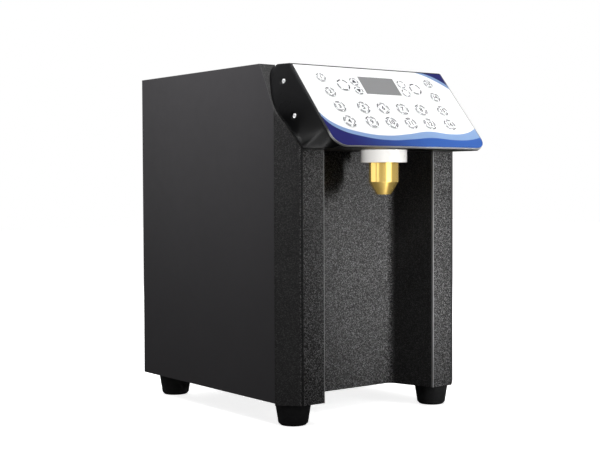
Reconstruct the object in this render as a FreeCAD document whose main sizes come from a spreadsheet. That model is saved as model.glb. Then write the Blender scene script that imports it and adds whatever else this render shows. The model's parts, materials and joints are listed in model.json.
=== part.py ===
import FreeCAD, Part
import math
import os
import Sketcher

# Driving dimensions in millimetres and degrees, grouped by the piece that they belong to.
SIZES = {
    # Cabinet
    "overall_height": 445.0,
    "cabinet_width": 300.0,
    "cabinet_depth": 342.0,
    "console_overhang": 68.0,
    "sheet": 1.2,
    "flange": 12.0,
    "bevel_width": 25.2,
    "bevel_depth": 23.8,
    "chamfer_depth": 29.9,
    "chamfer_height": 58.7,
    "front_drop": 2.5,
    # Cup bay
    "pillar_width": 58.7,
    "bay_taper": 19.3,
    "bay_depth": 64.0,
    "bay_corner": 11.0,
    # Feet
    "foot_height": 30.0,
    "foot_side_inset": 33.2,
    "foot_front_inset": 31.2,
    "foot_rear_inset": 30.6,
    "foot_top_radius": 24.5,
    "foot_neck_radius": 22.6,
    "foot_base_radius": 18.6,
    "foot_base_round": 2.6,
    "foot_rim": 2.6,
    "foot_recess_radius": 6.5,
    "foot_recess_depth": 20.0,
    # Cabinet screws
    "screw_radius": 2.0,
    "screw_head_radius": 3.8,
    "screw_head_height": 2.0,
    "screw_length": 10.0,
    # Lid well, lid and hinge
    "well_depth": 14.0,
    "well_clearance": 0.5,
    "ledge_width": 7.0,
    "lid_gap": 1.2,
    "lid_skirt": 9.0,
    "pull_width": 48.0,
    "pull_depth": 14.0,
    "pull_height": 4.6,
    "seal_width": 5.0,
    "hinge_spacing": 120.0,
    "hinge_length": 42.0,
    "hinge_axis_height": 2.6,
    "hinge_radius": 2.3,
    "hinge_pin_radius": 1.1,
    "hinge_leaf": 16.0,
    "hinge_leaf_thickness": 1.0,
    # Syrup tank
    "tank_width": 216.0,
    "tank_length": 196.0,
    "tank_rise": 170.0,
    "tank_rear_gap": 34.0,
    "tank_wall": 1.0,
    "tank_rim": 8.0,
    "tank_corner": 20.0,
    "outlet_setback": 95.0,
    "outlet_radius": 9.0,
    "outlet_flange_radius": 15.0,
    "outlet_flange_thickness": 4.0,
    "outlet_length": 34.0,
    "probe_x": 60.0,
    "probe_radius": 3.0,
    "probe_reach": 36.0,
    "probe_nut_radius": 8.0,
    "probe_nut_thickness": 6.0,
    "probe_tail": 14.0,
    # Hoses and their clamps
    "hose_radius": 6.5,
    "suction_bend_radius": 42.0,
    "delivery_bend_radius": 28.0,
    "hose_overlap": 12.0,
    "clamp_width": 7.0,
    "clamp_thickness": 0.8,
    "clamp_ear": 4.0,
    "suction_rise": 16.0,
    "delivery_rise": 48.4,
    # Gear pump
    "pump_setback": 23.0,
    "pump_rise": 90.0,
    "pump_width": 68.0,
    "pump_height": 44.0,
    "pump_gear_width": 12.0,
    "pump_back_wall": 8.0,
    "pump_cover_thickness": 7.0,
    "gear_module": 2.0,
    "gear_spread": 0.25,
    "gear_thinning": 0.16,
    "gear_addendum_share": 0.9,
    "gear_dedendum_share": 1.15,
    "gear_pressure_angle": 25.0,
    "gear_side_clearance": 0.3,
    "gear_tip_clearance": 0.35,
    "gear_shaft_radius": 4.0,
    "idler_stub": 5.0,
    "shaft_clearance": 0.05,
    "barb_radius": 4.15,
    "barb_bore": 2.5,
    "port_length": 14.0,
    # Gear motor and bracket
    "motor_radius": 21.0,
    "motor_length": 58.0,
    "gearbox_length": 22.0,
    "gearbox_radius": 18.5,
    "motor_socket": 14.0,
    "bracket_thickness": 2.0,
    "bracket_width": 84.0,
    "bracket_foot": 26.0,
    "bracket_window": 22.0,
    "bracket_window_height": 36.0,
    # Power supply
    "supply_width": 97.0,
    "supply_length": 129.0,
    "supply_height": 30.0,
    "supply_side_gap": 18.3,
    "supply_rear_gap": 45.5,
    "supply_terminals": 14.0,
    # Rear fittings
    "inlet_side_inset": 65.0,
    "inlet_rise": 48.0,
    "inlet_width": 27.2,
    "inlet_height": 19.8,
    "inlet_depth": 24.0,
    "inlet_bezel": 2.2,
    "inlet_bezel_thickness": 2.4,
    "inlet_socket_width": 24.2,
    "inlet_socket_height": 16.4,
    "inlet_socket_depth": 17.0,
    "inlet_pin_width": 2.0,
    "inlet_pin_height": 4.0,
    "inlet_pin_length": 13.0,
    "inlet_pin_spacing": 7.0,
    "inlet_pin_rise": 2.0,
    "switch_rise": 44.0,
    "switch_width": 13.0,
    "switch_height": 19.2,
    "switch_depth": 15.0,
    "switch_bezel": 1.2,
    "switch_bezel_thickness": 1.6,
    "rocker_radius": 8.1,
    "rocker_width": 10.0,
    "rocker_clearance": 0.4,
    "rocker_tilt_angle": 12.0,
    "rocker_dip": 1.5,
    "rocker_base": 2.6,
    "rocker_pivot_radius": 1.2,
    "vent_width": 60.0,
    "vent_height": 4.0,
    "vent_spacing": 10.0,
    "vent_rise": 180.0,
    # Control console on the slanted face
    "console_top_depth": 32.4,
    "panel_angle": 49.43,
    "panel_side_margin": 25.65,
    "panel_length": 135.0,
    "panel_bottom_corner": 18.0,
    "panel_top_corner": 3.0,
    "overlay_thickness": 0.5,
    "overlay_margin": 0.7,
    "plate_thickness": 2.4,
    "housing_wall": 2.5,
    "housing_nose_margin": 3.0,
    "housing_nose_setback": 11.0,
    "ear_width": 23.0,
    "ear_height": 26.0,
    "housing_length": 150.0,
    "window_margin_side": 6.3,
    "window_margin_top": 6.0,
    "window_margin_bottom": 23.0,
    # Console screws
    "console_screw_radius": 1.5,
    "console_screw_head_radius": 3.0,
    "console_screw_head_height": 1.6,
    "console_screw_crown_share": 0.7,
    "console_screw_length": 9.0,
    "console_screw_upper": 33.1,
    "console_screw_lower": 81.4,
    "console_screw_out": 15.2,
    "console_seat_offset": 8.45,
    "console_boss_radius": 5.0,
    "lug_offset": 3.15,
    "lug_width": 14.0,
    "lug_length": 19.0,
    # Keys
    "keypad_offset": -1.6,
    "column_spacing_share": 0.12827,
    "side_column_share": 0.35927,
    "side_column_lean_share": 0.00852,
    "first_row": 22.6,
    "row_spacing": 24.4,
    "portion_key_width": 19.7,
    "side_key_width": 14.5,
    "side_key_step": 1.5,
    "large_key_share": 0.24125,
    "large_key_row": 34.0,
    "large_key_width": 19.5,
    "setting_key_share": 0.15883,
    "setting_row": 27.0,
    "setting_spacing": 15.0,
    "setting_key_width": 13.5,
    "key_clearance": 0.3,
    "key_proud": 0.6,
    "key_flange": 0.6,
    "key_flange_thickness": 1.0,
    "key_stem_radius": 2.0,
    "key_travel": 0.5,
    # Board, display and switches
    "display_width_share": 0.23321,
    "display_height": 29.6,
    "display_row": 31.8,
    "board_side_margin": 12.35,
    "board_margin": 12.0,
    "board_length": 98.0,
    "board_thickness": 1.6,
    "board_depth": 10.0,
    "tact_width": 6.0,
    "tact_height": 3.5,
    "tact_plunger": 0.6,
    "tact_plunger_radius": 1.6,
    "standoff_radius": 2.6,
    "standoff_inset": 4.0,
    # Nozzle, collar and check valve
    "nozzle_forward": 6.0,
    "collar_radius": 29.3,
    "collar_height": 15.6,
    "collar_spigot_radius": 10.0,
    "collar_spigot_height": 7.4,
    "collar_bore": 4.0,
    "nozzle_radius": 19.2,
    "nozzle_barrel_height": 24.4,
    "nozzle_mouth_radius": 9.5,
    "nozzle_cone_height": 15.8,
    "nozzle_neck_radius": 14.0,
    "nozzle_neck_height": 6.0,
    "nozzle_chamber_radius": 11.0,
    "nozzle_floor_height": 12.2,
    "nozzle_exit_radius": 5.0,
    "poppet_radius": 8.0,
    "poppet_thickness": 3.0,
    "poppet_stem_radius": 2.4,
    "poppet_stem_length": 15.0,
    "poppet_gap": 0.3,
    "spring_radius": 5.6,
    "spring_wire": 0.5,
    "spring_gap": 0.1,
    # Wiring inside the cabinet
    "loom_radius": 2.6,
    "loom_bend_radius": 25.0,
    "loom_side_gap": 22.8,
    "loom_setback": 23.0,
    "loom_board_x": -60.0,
    "loom_rise": 52.4,
    # How far a cutting solid runs past what it cuts
    "overrun": 5.0,
}

GEAR_TEETH = 12
SPRING_TURNS = 5
KEYS_PER_COLUMN = 4
REAR_SCREWS_PER_SIDE = 3
VENT_SLOTS = 9

# The housing's cheeks, from the top down: how far down the slope each section lies, as a share of
# the housing's length, then how far its foot and its crest stand out past the panel's edge, as
# shares of the ear's width, and how high the crest is, as a share of the ear's height.
CHEEK_SHARES = [
    (0.0, -0.05, 0.02, 0.77),
    (0.14, 0.72, 0.13, 0.88),
    (0.267, 0.93, 0.24, 0.94),
    (0.4, 1.0, 0.29, 0.98),
    (0.5, 0.82, 0.29, 1.0),
    (0.587, 0.55, 0.29, 0.7),
    (0.653, 0.35, 0.25, 0.42),
    (0.733, 0.13, 0.17, 0.22),
    (0.787, 0.0, 0.0, 0.11),
]

document = FreeCAD.newDocument("SyrupDispenser")
sheet = document.addObject("Spreadsheet::Sheet", "Sizes")
for row, (alias, amount) in enumerate(SIZES.items(), start=1):
    sheet.set(f"A{row}", alias)
    sheet.set(f"B{row}", str(amount))
    sheet.setAlias(f"B{row}", alias)
document.recompute()


class Size:
    """A size worked out from the sheet: its formula, and the number it gives now."""

    def __init__(self, formula, value):
        self.formula = formula
        self.value = value

    def __add__(self, other):
        return Size(f"({self.formula} + {formula_of(other)})", self.value + value_of(other))

    def __sub__(self, other):
        return Size(f"({self.formula} - {formula_of(other)})", self.value - value_of(other))

    def __rsub__(self, other):
        return Size(f"({formula_of(other)} - {self.formula})", value_of(other) - self.value)

    def __mul__(self, other):
        return Size(f"({self.formula} * {formula_of(other)})", self.value * value_of(other))

    def __truediv__(self, other):
        return Size(f"({self.formula} / {formula_of(other)})", self.value / value_of(other))

    def __neg__(self):
        return Size(f"(-{self.formula})", -self.value)

    __radd__ = __add__
    __rmul__ = __mul__


def value_of(amount):
    return amount.value if isinstance(amount, Size) else float(amount)


def formula_of(amount):
    return amount.formula if isinstance(amount, Size) else repr(float(amount))


def sine(angle):
    return Size(f"sin({angle.formula})", math.sin(math.radians(angle.value)))


def cosine(angle):
    return Size(f"cos({angle.formula})", math.cos(math.radians(angle.value)))


def slope_angle(rise, run):
    formula = f"atan({formula_of(rise)} / {formula_of(run)})"
    return Size(formula, math.degrees(math.atan(value_of(rise) / value_of(run))))


class Sheet:
    """The sheet's sizes, each under its own name."""


size = Sheet()
for alias in SIZES:
    setattr(size, alias, Size(f"Sizes.{alias}", sheet.get(alias)))

X_AXIS = FreeCAD.Vector(1, 0, 0)
Y_AXIS = FreeCAD.Vector(0, 1, 0)
Z_AXIS = FreeCAD.Vector(0, 0, 1)
SIDES = (-1, 1)

# Rotations that turn a cylinder's own Z axis to another direction.
TURNS = {
    "Z": (Z_AXIS, 0),
    "X": (Y_AXIS, 90),
    "-X": (Y_AXIS, -90),
    "Y": (X_AXIS, -90),
    "-Y": (X_AXIS, 90),
    "-Z": (X_AXIS, 180),
}

finished = {}


def vector(x, y, z):
    return FreeCAD.Vector(value_of(x), value_of(y), value_of(z))


def bind(item, properties):
    """Ties each property to its formula, so that it follows the sheet."""
    for name, amount in properties.items():
        item.setExpression(name, formula_of(amount))


def place(item, x=0, y=0, z=0, turn=(Z_AXIS, 0)):
    """Puts an item at a point, turned about an axis by an angle that may be a size."""
    axis, angle = turn
    rotation = FreeCAD.Rotation(axis, value_of(angle))
    item.Placement = FreeCAD.Placement(vector(x, y, z), rotation)
    bind(item, {"Placement.Base.x": x, "Placement.Base.y": y, "Placement.Base.z": z})
    if isinstance(angle, Size):
        bind(item, {"Placement.Rotation.Angle": angle})
    return item


class Frame:
    """A tilted plane across the machine: x stays level, up climbs the slope, out leaves it."""

    def __init__(self, angle, y, z):
        self.angle = angle
        self.y = y
        self.z = z

    def point(self, up, out):
        y = self.y + up * cosine(self.angle) - out * sine(self.angle)
        z = self.z + up * sine(self.angle) + out * cosine(self.angle)
        return y, z

    def place(self, item, x, up, out):
        y, z = self.point(up, out)
        return place(item, x, y, z, (X_AXIS, self.angle))


def box(name, xs, ys, zs):
    item = document.addObject("Part::Box", name)
    bind(item, {"Length": xs[1] - xs[0], "Width": ys[1] - ys[0], "Height": zs[1] - zs[0]})
    return place(item, xs[0], ys[0], zs[0])


def tilted_box(name, frame, xs, ups, outs):
    item = document.addObject("Part::Box", name)
    bind(item, {"Length": xs[1] - xs[0], "Width": ups[1] - ups[0], "Height": outs[1] - outs[0]})
    return frame.place(item, xs[0], ups[0], outs[0])


def rod(name, radius, length, x, y, z, along="Z"):
    item = document.addObject("Part::Cylinder", name)
    bind(item, {"Radius": radius, "Height": length})
    return place(item, x, y, z, TURNS[along])


def tilted_rod(name, frame, radius, x, up, outs):
    item = document.addObject("Part::Cylinder", name)
    bind(item, {"Radius": radius, "Height": outs[1] - outs[0]})
    return frame.place(item, x, up, outs[0])


def origin_plane(body, role):
    return next(item for item in body.Origin.OriginFeatures if item.Role == role)


def sketch_outline(body, name, role, outline, offset=0):
    """Draws a closed outline whose corners are each held at their formulas."""
    sketch = body.newObject("Sketcher::SketchObject", name)
    sketch.AttachmentSupport = [(origin_plane(body, role), "")]
    sketch.MapMode = "FlatFace"
    corners = [FreeCAD.Vector(value_of(a), value_of(b), 0) for a, b in outline]
    count = len(corners)
    for index in range(count):
        line = Part.LineSegment(corners[index], corners[(index + 1) % count])
        sketch.addGeometry(line, False)
    for index in range(count):
        following = (index + 1) % count
        sketch.addConstraint(Sketcher.Constraint("Coincident", index, 2, following, 1))
    for index, (across, along) in enumerate(outline):
        for kind, amount in (("DistanceX", across), ("DistanceY", along)):
            held = Sketcher.Constraint(kind, -1, 1, index, 1, value_of(amount))
            number = sketch.addConstraint(held)
            if isinstance(amount, Size):
                sketch.setExpression(f"Constraints[{number}]", amount.formula)
    bind(sketch, {"AttachmentOffset.Base.z": offset})
    return sketch


def prism(name, role, outline, start, length):
    """Pads an outline from a start along X, Y or Z, square to the plane that it lies in."""
    body = document.addObject("PartDesign::Body", name)
    offset = -(start + length) if role == "XZ_Plane" else start
    sketch = sketch_outline(body, name + "_outline", role, outline, offset)
    pad = body.newObject("PartDesign::Pad", name + "_pad")
    pad.Profile = sketch
    bind(pad, {"Length": length})
    document.recompute()
    return body


def round_corners(body, radius, corners):
    """Rounds the upright edges of a padded body that stand on the given corners."""
    shape = body.Tip.Shape
    points = [FreeCAD.Vector(value_of(x), value_of(y), 0) for x, y in corners]
    chosen = []
    for number, edge in enumerate(shape.Edges, start=1):
        low, high = edge.Vertexes[0].Point, edge.Vertexes[-1].Point
        flat = FreeCAD.Vector(low.x, low.y, 0)
        upright = flat.distanceToPoint(FreeCAD.Vector(high.x, high.y, 0)) < 1e-6
        if upright and any(flat.distanceToPoint(point) < 1e-4 for point in points):
            chosen.append(f"Edge{number}")
    base = body.Tip
    rounding = body.newObject("PartDesign::Fillet", body.Name + "_rounding")
    rounding.Base = (base, chosen)
    bind(rounding, {"Radius": radius})
    body.Tip = rounding
    document.recompute()
    return body


def rounded_block(name, xs, ys, zs, radius):
    corners = [(xs[0], ys[0]), (xs[1], ys[0]), (xs[1], ys[1]), (xs[0], ys[1])]
    block = prism(name, "XY_Plane", corners, zs[0], zs[1] - zs[0])
    return round_corners(block, radius, corners)


def turned(name, outline, x=0, y=0, z=0, turn=(Z_AXIS, 0)):
    """Revolves a half section, given as radius and height, about its upright axis."""
    body = document.addObject("PartDesign::Body", name)
    sketch = sketch_outline(body, name + "_section", "XZ_Plane", outline)
    spin = body.newObject("PartDesign::Revolution", name + "_spin")
    spin.Profile = sketch
    spin.ReferenceAxis = (sketch, ["V_Axis"])
    spin.Angle = 360
    place(body, x, y, z, turn)
    document.recompute()
    return body


def fuse(name, *items):
    if len(items) == 1:
        return items[0]
    whole = document.addObject("Part::MultiFuse", name)
    whole.Shapes = list(items)
    return whole


def cut(name, base, *tools):
    result = document.addObject("Part::Cut", name)
    result.Base = base
    result.Tool = fuse(name + "_cutter", *tools)
    return result


def common(name, first, second):
    result = document.addObject("Part::Common", name)
    result.Base = first
    result.Tool = second
    return result


def group(name, items):
    result = document.addObject("Part::Compound", name)
    result.Links = list(items)
    return result


def shaped(name, shape):
    item = document.addObject("Part::Feature", name)
    item.Shape = shape
    item.Placement = FreeCAD.Placement()
    return item


def finish(label, item):
    """Names a sub-part, which is then written under that name."""
    item.Label = label
    finished[label] = item
    return item


# Planes and edges that several pieces share
half_width = size.cabinet_width / 2
inner_half = half_width - size.sheet
rear = (size.cabinet_depth + size.console_overhang) / 2
front = rear - size.cabinet_depth
shoulder = front + size.bevel_depth
crest = shoulder + size.chamfer_depth
floor = size.foot_height
top = size.overall_height
under_deck = top - size.sheet
chamfer_ratio = size.chamfer_height / size.chamfer_depth
bay_top = top - (crest - front) * chamfer_ratio
bay_back = front + size.bay_depth
slant = Frame(slope_angle(size.chamfer_height, size.chamfer_depth), crest, top)
panel = Frame(size.panel_angle, crest - size.console_top_depth, top)
nozzle_y = front - size.nozzle_forward
bay_width = size.cabinet_width - 2 * size.pillar_width
bay_back_width = bay_width - 2 * size.bay_taper
collar_bottom = bay_top - size.collar_height
spigot_top = bay_top + size.collar_spigot_height
delivery_z = bay_top + size.delivery_rise
loom_z = bay_top + size.loom_rise
loom_y = bay_back + size.loom_setback
pump_y = bay_back + size.pump_setback
pump_z = floor + size.pump_rise
inlet_x = size.inlet_side_inset - half_width
inlet_z = floor + size.inlet_rise
switch_z = inlet_z + size.switch_rise
supply_x = size.supply_side_gap + size.supply_width / 2 - inner_half
supply_y = rear - size.supply_rear_gap - size.supply_length / 2
panel_half = half_width - size.panel_side_margin
panel_width = 2 * panel_half
lug_face = panel_half + size.lug_offset
screw_seat = panel_half + size.console_seat_offset


def slant_wedge(name, setback):
    """Everything in front of the slanted face, or of a face set back from it."""
    shift = setback / sine(slant.angle)
    high = (crest + shift + size.overrun, top + size.overrun * chamfer_ratio)
    drop = (crest + shift - front + size.overrun) * chamfer_ratio
    low = (front - size.overrun, top - drop)
    corner = (front - size.overrun, top + size.overrun * chamfer_ratio)
    width = size.cabinet_width + 2 * size.overrun
    return prism(name, "YZ_Plane", [high, low, corner], -width / 2, width)


def cabinet_outline(inset):
    """The cabinet seen from above, without its cup bay, drawn in by an even amount."""
    half_turn = slope_angle(size.bevel_width, size.bevel_depth) / 2
    other_half_turn = slope_angle(size.bevel_depth, size.bevel_width) / 2
    side_step = inset * sine(half_turn) / cosine(half_turn)
    front_step = inset * sine(other_half_turn) / cosine(other_half_turn)
    bevel_end = half_width - size.bevel_width - front_step
    side = half_width - inset
    right = [(bevel_end, front + inset), (side, shoulder + side_step), (side, rear - inset)]
    left = [(-x, y) for x, y in reversed(right)]
    return right + left


def bay_block(name, outset):
    """The cup bay as a solid, or the same grown by an even amount."""
    side_turn = slope_angle((bay_width - bay_back_width) / 2, size.bay_depth)
    spread = outset / cosine(side_turn)
    mouth = bay_width / 2 + spread
    back_step = outset * (1 - sine(side_turn)) / cosine(side_turn)
    back_half = bay_back_width / 2 + back_step
    back = bay_back + outset
    right = [(mouth, front - size.overrun), (mouth, front), (back_half, back)]
    left = [(-x, y) for x, y in reversed(right)]
    base = floor - size.front_drop - size.overrun
    block = prism(name, "XY_Plane", right + left, base, bay_top + outset - base)
    corner = size.bay_corner + outset
    return round_corners(block, corner, [(back_half, back), (-back_half, back)])


def front_panel():
    bottom = floor - size.front_drop
    skin = prism("front_skin", "XY_Plane", cabinet_outline(0 * size.sheet), bottom, under_deck - bottom)
    core_bottom = bottom - size.overrun
    core_height = top + size.overrun - core_bottom
    core = prism("front_core", "XY_Plane", cabinet_outline(size.sheet), core_bottom, core_height)
    level = 0 * size.sheet
    skin = cut("front_skin_bay", skin, bay_block("bay", level), slant_wedge("wedge", level))
    liner, wedge = bay_block("bay_liner", size.sheet), slant_wedge("wedge_inner", size.sheet)
    core = cut("front_core_bay", core, liner, wedge)
    shell = cut("front_shell", skin, core)
    reach = (bottom, under_deck)
    ahead = box("front_keep_ahead", (-half_width, half_width), (front, shoulder), reach)
    liner_back = bay_back + 2 * size.sheet
    behind = box("front_keep_behind", (-inner_half, inner_half), (shoulder, liner_back), reach)
    face = common("front_face", shell, fuse("front_keep", ahead, behind))
    tabs = []
    for side in SIDES:
        outer, inner = side * inner_half, side * (inner_half - size.sheet)
        xs = (inner, outer) if side > 0 else (outer, inner)
        tab_top = top - size.chamfer_height - size.flange
        ys = (shoulder - size.sheet, shoulder + size.flange)
        tabs.append(box(f"front_tab_{len(tabs)}", xs, ys, (floor + size.flange, tab_top)))
    lugs = common("front_lugs", fuse("lug_blocks", *lug_blocks()), housing_room())
    spigot_hole = size.collar_spigot_radius + size.well_clearance
    spigot_length = spigot_top - bay_top + 2 * size.overrun
    spigot = rod("front_spigot_hole", spigot_hole, spigot_length, 0, nozzle_y, bay_top - size.overrun)
    hose_hole = size.hose_radius + size.well_clearance
    hose = rod("front_hose_hole", hose_hole, size.bay_depth, 0, bay_back, delivery_z, "-Y")
    loom_hole = size.loom_radius + size.well_clearance
    loom = rod("front_loom_hole", loom_hole, size.bay_depth, size.loom_board_x, bay_back, loom_z, "-Y")
    whole = fuse("front_whole", face, lugs, *tabs)
    return cut("front_panel_cut", whole, spigot, hose, loom)


def lug_blocks():
    """Tabs that stand out of the slanted face to hold the console's screws."""
    blocks = []
    for side in SIDES:
        for down in (size.console_screw_upper, size.console_screw_lower):
            near, far = side * (lug_face - size.sheet), side * lug_face
            xs = (near, far) if side > 0 else (far, near)
            ups = (-down - size.lug_width / 2, -down + size.lug_width / 2)
            name = f"lug_{len(blocks)}"
            block = tilted_box(name, slant, xs, ups, (-size.sheet / 2, size.lug_length))
            hole = console_screw_rod(name + "_hole", side, down, size.shaft_clearance)
            blocks.append(cut(name + "_drilled", block, hole))
    return blocks


def console_screw_rod(name, side, down, clearance):
    y, z = slant.point(-down, size.console_screw_out)
    start = screw_seat - size.console_screw_length - size.overrun
    length = size.console_screw_length + 2 * size.overrun
    radius = size.console_screw_radius + clearance
    return rod(name, radius, length, side * start, y, z, "X" if side > 0 else "-X")


def side_panel(label, side):
    outline = [
        (shoulder, floor),
        (rear, floor),
        (rear, top),
        (crest, top),
        (shoulder, top - size.chamfer_height),
    ]
    start = inner_half if side > 0 else -half_width
    plate = prism(label + "_plate", "YZ_Plane", outline, start, size.sheet)
    edge, inner = side * inner_half, side * (inner_half - size.flange)
    xs = (inner, edge) if side > 0 else (edge, inner)
    zs = (floor + 2 * size.flange, under_deck - 2 * size.flange)
    lip = box(label + "_lip", xs, (rear - 2 * size.sheet, rear - size.sheet), zs)
    holes = [screw_hole(f"{label}_hole_{index}", place) for index, place in enumerate(rear_screws(side))]
    return finish(label, cut(label + "_cut", fuse(label + "_folded", plate, lip), *holes))


def rear_screws(side):
    """Places of the screws that hold the rear panel to one side panel."""
    low = floor + 3 * size.flange
    high = under_deck - 3 * size.flange
    x = side * (inner_half - size.flange / 2)
    step = (high - low) / (REAR_SCREWS_PER_SIDE - 1)
    return [(x, low + step * index) for index in range(REAR_SCREWS_PER_SIDE)]


def screw_hole(name, place_xz):
    x, z = place_xz
    radius = size.screw_radius + size.shaft_clearance
    return rod(name, radius, 2 * size.overrun, x, rear + size.overrun, z, "-Y")


def foot_places():
    rear_y = rear - size.foot_rear_inset
    front_y = front + size.foot_front_inset
    half = half_width - size.foot_side_inset
    return [(-half, front_y), (half, front_y), (-half, rear_y), (half, rear_y)]


def base_pan():
    clear = size.sheet
    outline = cabinet_outline(clear)
    plate = prism("pan_plate", "XY_Plane", outline, floor, size.sheet)
    lips = []
    for side in SIDES:
        edge, inner = side * inner_half, side * (inner_half - size.sheet)
        xs = (inner, edge) if side > 0 else (edge, inner)
        ys = (shoulder + size.flange + size.sheet, rear - 3 * size.sheet)
        lips.append(box(f"pan_lip_{len(lips)}", xs, ys, (floor, floor + size.flange)))
    bay = bay_block("pan_bay", size.sheet)
    holes = []
    for x, y in foot_places():
        radius = size.screw_radius + size.shaft_clearance
        name = f"pan_hole_{len(holes)}"
        holes.append(rod(name, radius, 2 * size.overrun, x, y, floor - size.overrun))
    holes += pan_screw_holes("pan_screw_hole")
    return finish("base_pan", cut("pan_cut", fuse("pan_folded", plate, *lips), bay, *holes))


def vent_slots():
    slots = []
    for index in range(VENT_SLOTS):
        z = floor + size.vent_rise + size.vent_spacing * index
        for side in SIDES:
            middle = side * half_width / 3
            xs = (middle - size.vent_width / 2, middle + size.vent_width / 2)
            name = f"vent_{len(slots)}"
            through = (rear - size.overrun, rear + size.overrun)
            slots.append(box(name, xs, through, (z, z + size.vent_height)))
    return slots


def rear_panel():
    ys = (rear - size.sheet, rear)
    plate = box("rear_plate", (-inner_half, inner_half), ys, (floor, under_deck))
    openings = vent_slots()
    through = (rear - size.overrun, rear + size.overrun)
    for name, x, z, width, height in (
        ("rear_inlet_hole", inlet_x, inlet_z, size.inlet_width, size.inlet_height),
        ("rear_switch_hole", inlet_x, switch_z, size.switch_width, size.switch_height),
    ):
        xs = (x - width / 2, x + width / 2)
        openings.append(box(name, xs, through, (z - height / 2, z + height / 2)))
    for side in SIDES:
        for index, spot in enumerate(rear_screws(side)):
            openings.append(screw_hole(f"rear_hole_{side + 1}_{index}", spot))
    return finish("rear_panel", cut("rear_cut", plate, *openings))


# The tank and the well in the deck that its rim rests in
tank_back = rear - size.tank_rear_gap
tank_front = tank_back - size.tank_length
tank_half = size.tank_width / 2
tank_top = top - size.well_depth + size.tank_wall
tank_bottom = floor + size.tank_rise
outlet_y = tank_front + size.outlet_setback
rim_half = tank_half + size.tank_rim
rim_front = tank_front - size.tank_rim
rim_back = tank_back + size.tank_rim
well_half = rim_half + size.well_clearance
well_front = rim_front - size.well_clearance
well_back = rim_back + size.well_clearance
lid_half = well_half - size.lid_gap
lid_front = well_front + size.lid_gap
lid_back = well_back - size.lid_gap
hinge_y = (lid_back + well_back) / 2
hinge_z = top + size.hinge_axis_height


def top_deck():
    plate = box("deck_plate", (-inner_half, inner_half), (crest, rear), (under_deck, top))
    sheet_out = size.sheet
    well_xs = (-well_half - sheet_out, well_half + sheet_out)
    well_ys = (well_front - sheet_out, well_back + sheet_out)
    ledge = top - size.well_depth
    well = box("deck_well", well_xs, well_ys, (ledge - size.sheet, top))
    lips = []
    for side in SIDES:
        edge, inner = side * inner_half, side * (inner_half - size.sheet)
        xs = (inner, edge) if side > 0 else (edge, inner)
        ys = (crest + size.flange, rear - size.flange)
        lips.append(box(f"deck_lip_{len(lips)}", xs, ys, (under_deck - size.flange, under_deck)))
    hollow_zs = (ledge, top + size.overrun)
    hollow = box("deck_hollow", (-well_half, well_half), (well_front, well_back), hollow_zs)
    mouth_half = rim_half - size.ledge_width
    mouth_ys = (rim_front + size.ledge_width, rim_back - size.ledge_width)
    mouth_zs = (ledge - size.overrun, top)
    mouth = box("deck_mouth", (-mouth_half, mouth_half), mouth_ys, mouth_zs)
    sheet_metal = cut("deck_sheet", fuse("deck_folded", plate, well, *lips), hollow, mouth)
    leaves = []
    for centre in hinge_centres():
        for start, end in deck_knuckles(centre):
            leaves.append(knuckle(f"deck_knuckle_{len(leaves)}", start, end, 1))
    return finish("top_deck", fuse("deck_whole", sheet_metal, *leaves))


def hinge_centres():
    return [-size.hinge_spacing / 2, size.hinge_spacing / 2]


def deck_knuckles(centre):
    third = size.hinge_length / 3
    return [
        (centre - size.hinge_length / 2, centre - third / 2 - size.key_clearance),
        (centre + third / 2 + size.key_clearance, centre + size.hinge_length / 2),
    ]


def knuckle(name, start, end, side):
    """A hinge knuckle with its leaf, which lies on the deck or on the lid."""
    barrel = rod(name + "_barrel", size.hinge_radius, end - start, start, hinge_y, hinge_z, "X")
    reach = hinge_y + side * size.hinge_leaf
    ys = (hinge_y, reach) if side > 0 else (reach, hinge_y)
    leaf = box(name + "_leaf", (start, end), ys, (top, top + size.hinge_leaf_thickness))
    clearance = size.shaft_clearance if side < 0 else 0 * size.shaft_clearance
    bore_radius = size.hinge_pin_radius + clearance
    bore_length = end - start + 2 * size.overrun
    bore = rod(name + "_bore", bore_radius, bore_length, start - size.overrun, hinge_y, hinge_z, "X")
    return cut(name, fuse(name + "_solid", barrel, leaf), bore)


def lid():
    zs = (under_deck, top)
    plate = box("lid_plate", (-lid_half, lid_half), (lid_front, lid_back), zs)
    skirt_zs = (under_deck - size.lid_skirt, top)
    skirt = box("lid_skirt", (-lid_half, lid_half), (lid_front, lid_back), skirt_zs)
    inner_xs = (-lid_half + size.sheet, lid_half - size.sheet)
    inner_ys = (lid_front + size.sheet, lid_back - size.sheet)
    inner_zs = (under_deck - size.lid_skirt - size.overrun, under_deck)
    pan = cut("lid_pan", fuse("lid_block", plate, skirt), box("lid_inside", inner_xs, inner_ys, inner_zs))
    pull_xs = (-size.pull_width / 2, size.pull_width / 2)
    pull_foot = box("pull_foot", pull_xs, (lid_front, lid_front + size.pull_depth), (top, top + size.sheet))
    pull_lip = box("pull_lip", pull_xs, (lid_front, lid_front + size.sheet), (top, top + size.pull_height))
    leaves = []
    for centre in hinge_centres():
        sixth = size.hinge_length / 6
        leaves.append(knuckle(f"lid_knuckle_{len(leaves)}", centre - sixth, centre + sixth, -1))
    return finish("lid", fuse("lid_whole", pan, pull_foot, pull_lip, *leaves))


def lid_seal():
    low = tank_top + size.key_clearance
    high = under_deck - size.lid_skirt
    inside = size.seal_width
    xs = (-lid_half, lid_half)
    ys = (lid_front, lid_back)
    ring = box("seal_block", xs, ys, (low, high))
    inner_xs = (-lid_half + inside, lid_half - inside)
    inner_ys = (lid_front + inside, lid_back - inside)
    inner_zs = (low - size.overrun, high + size.overrun)
    return finish("lid_seal", cut("seal_ring", ring, box("seal_inside", inner_xs, inner_ys, inner_zs)))


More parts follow.
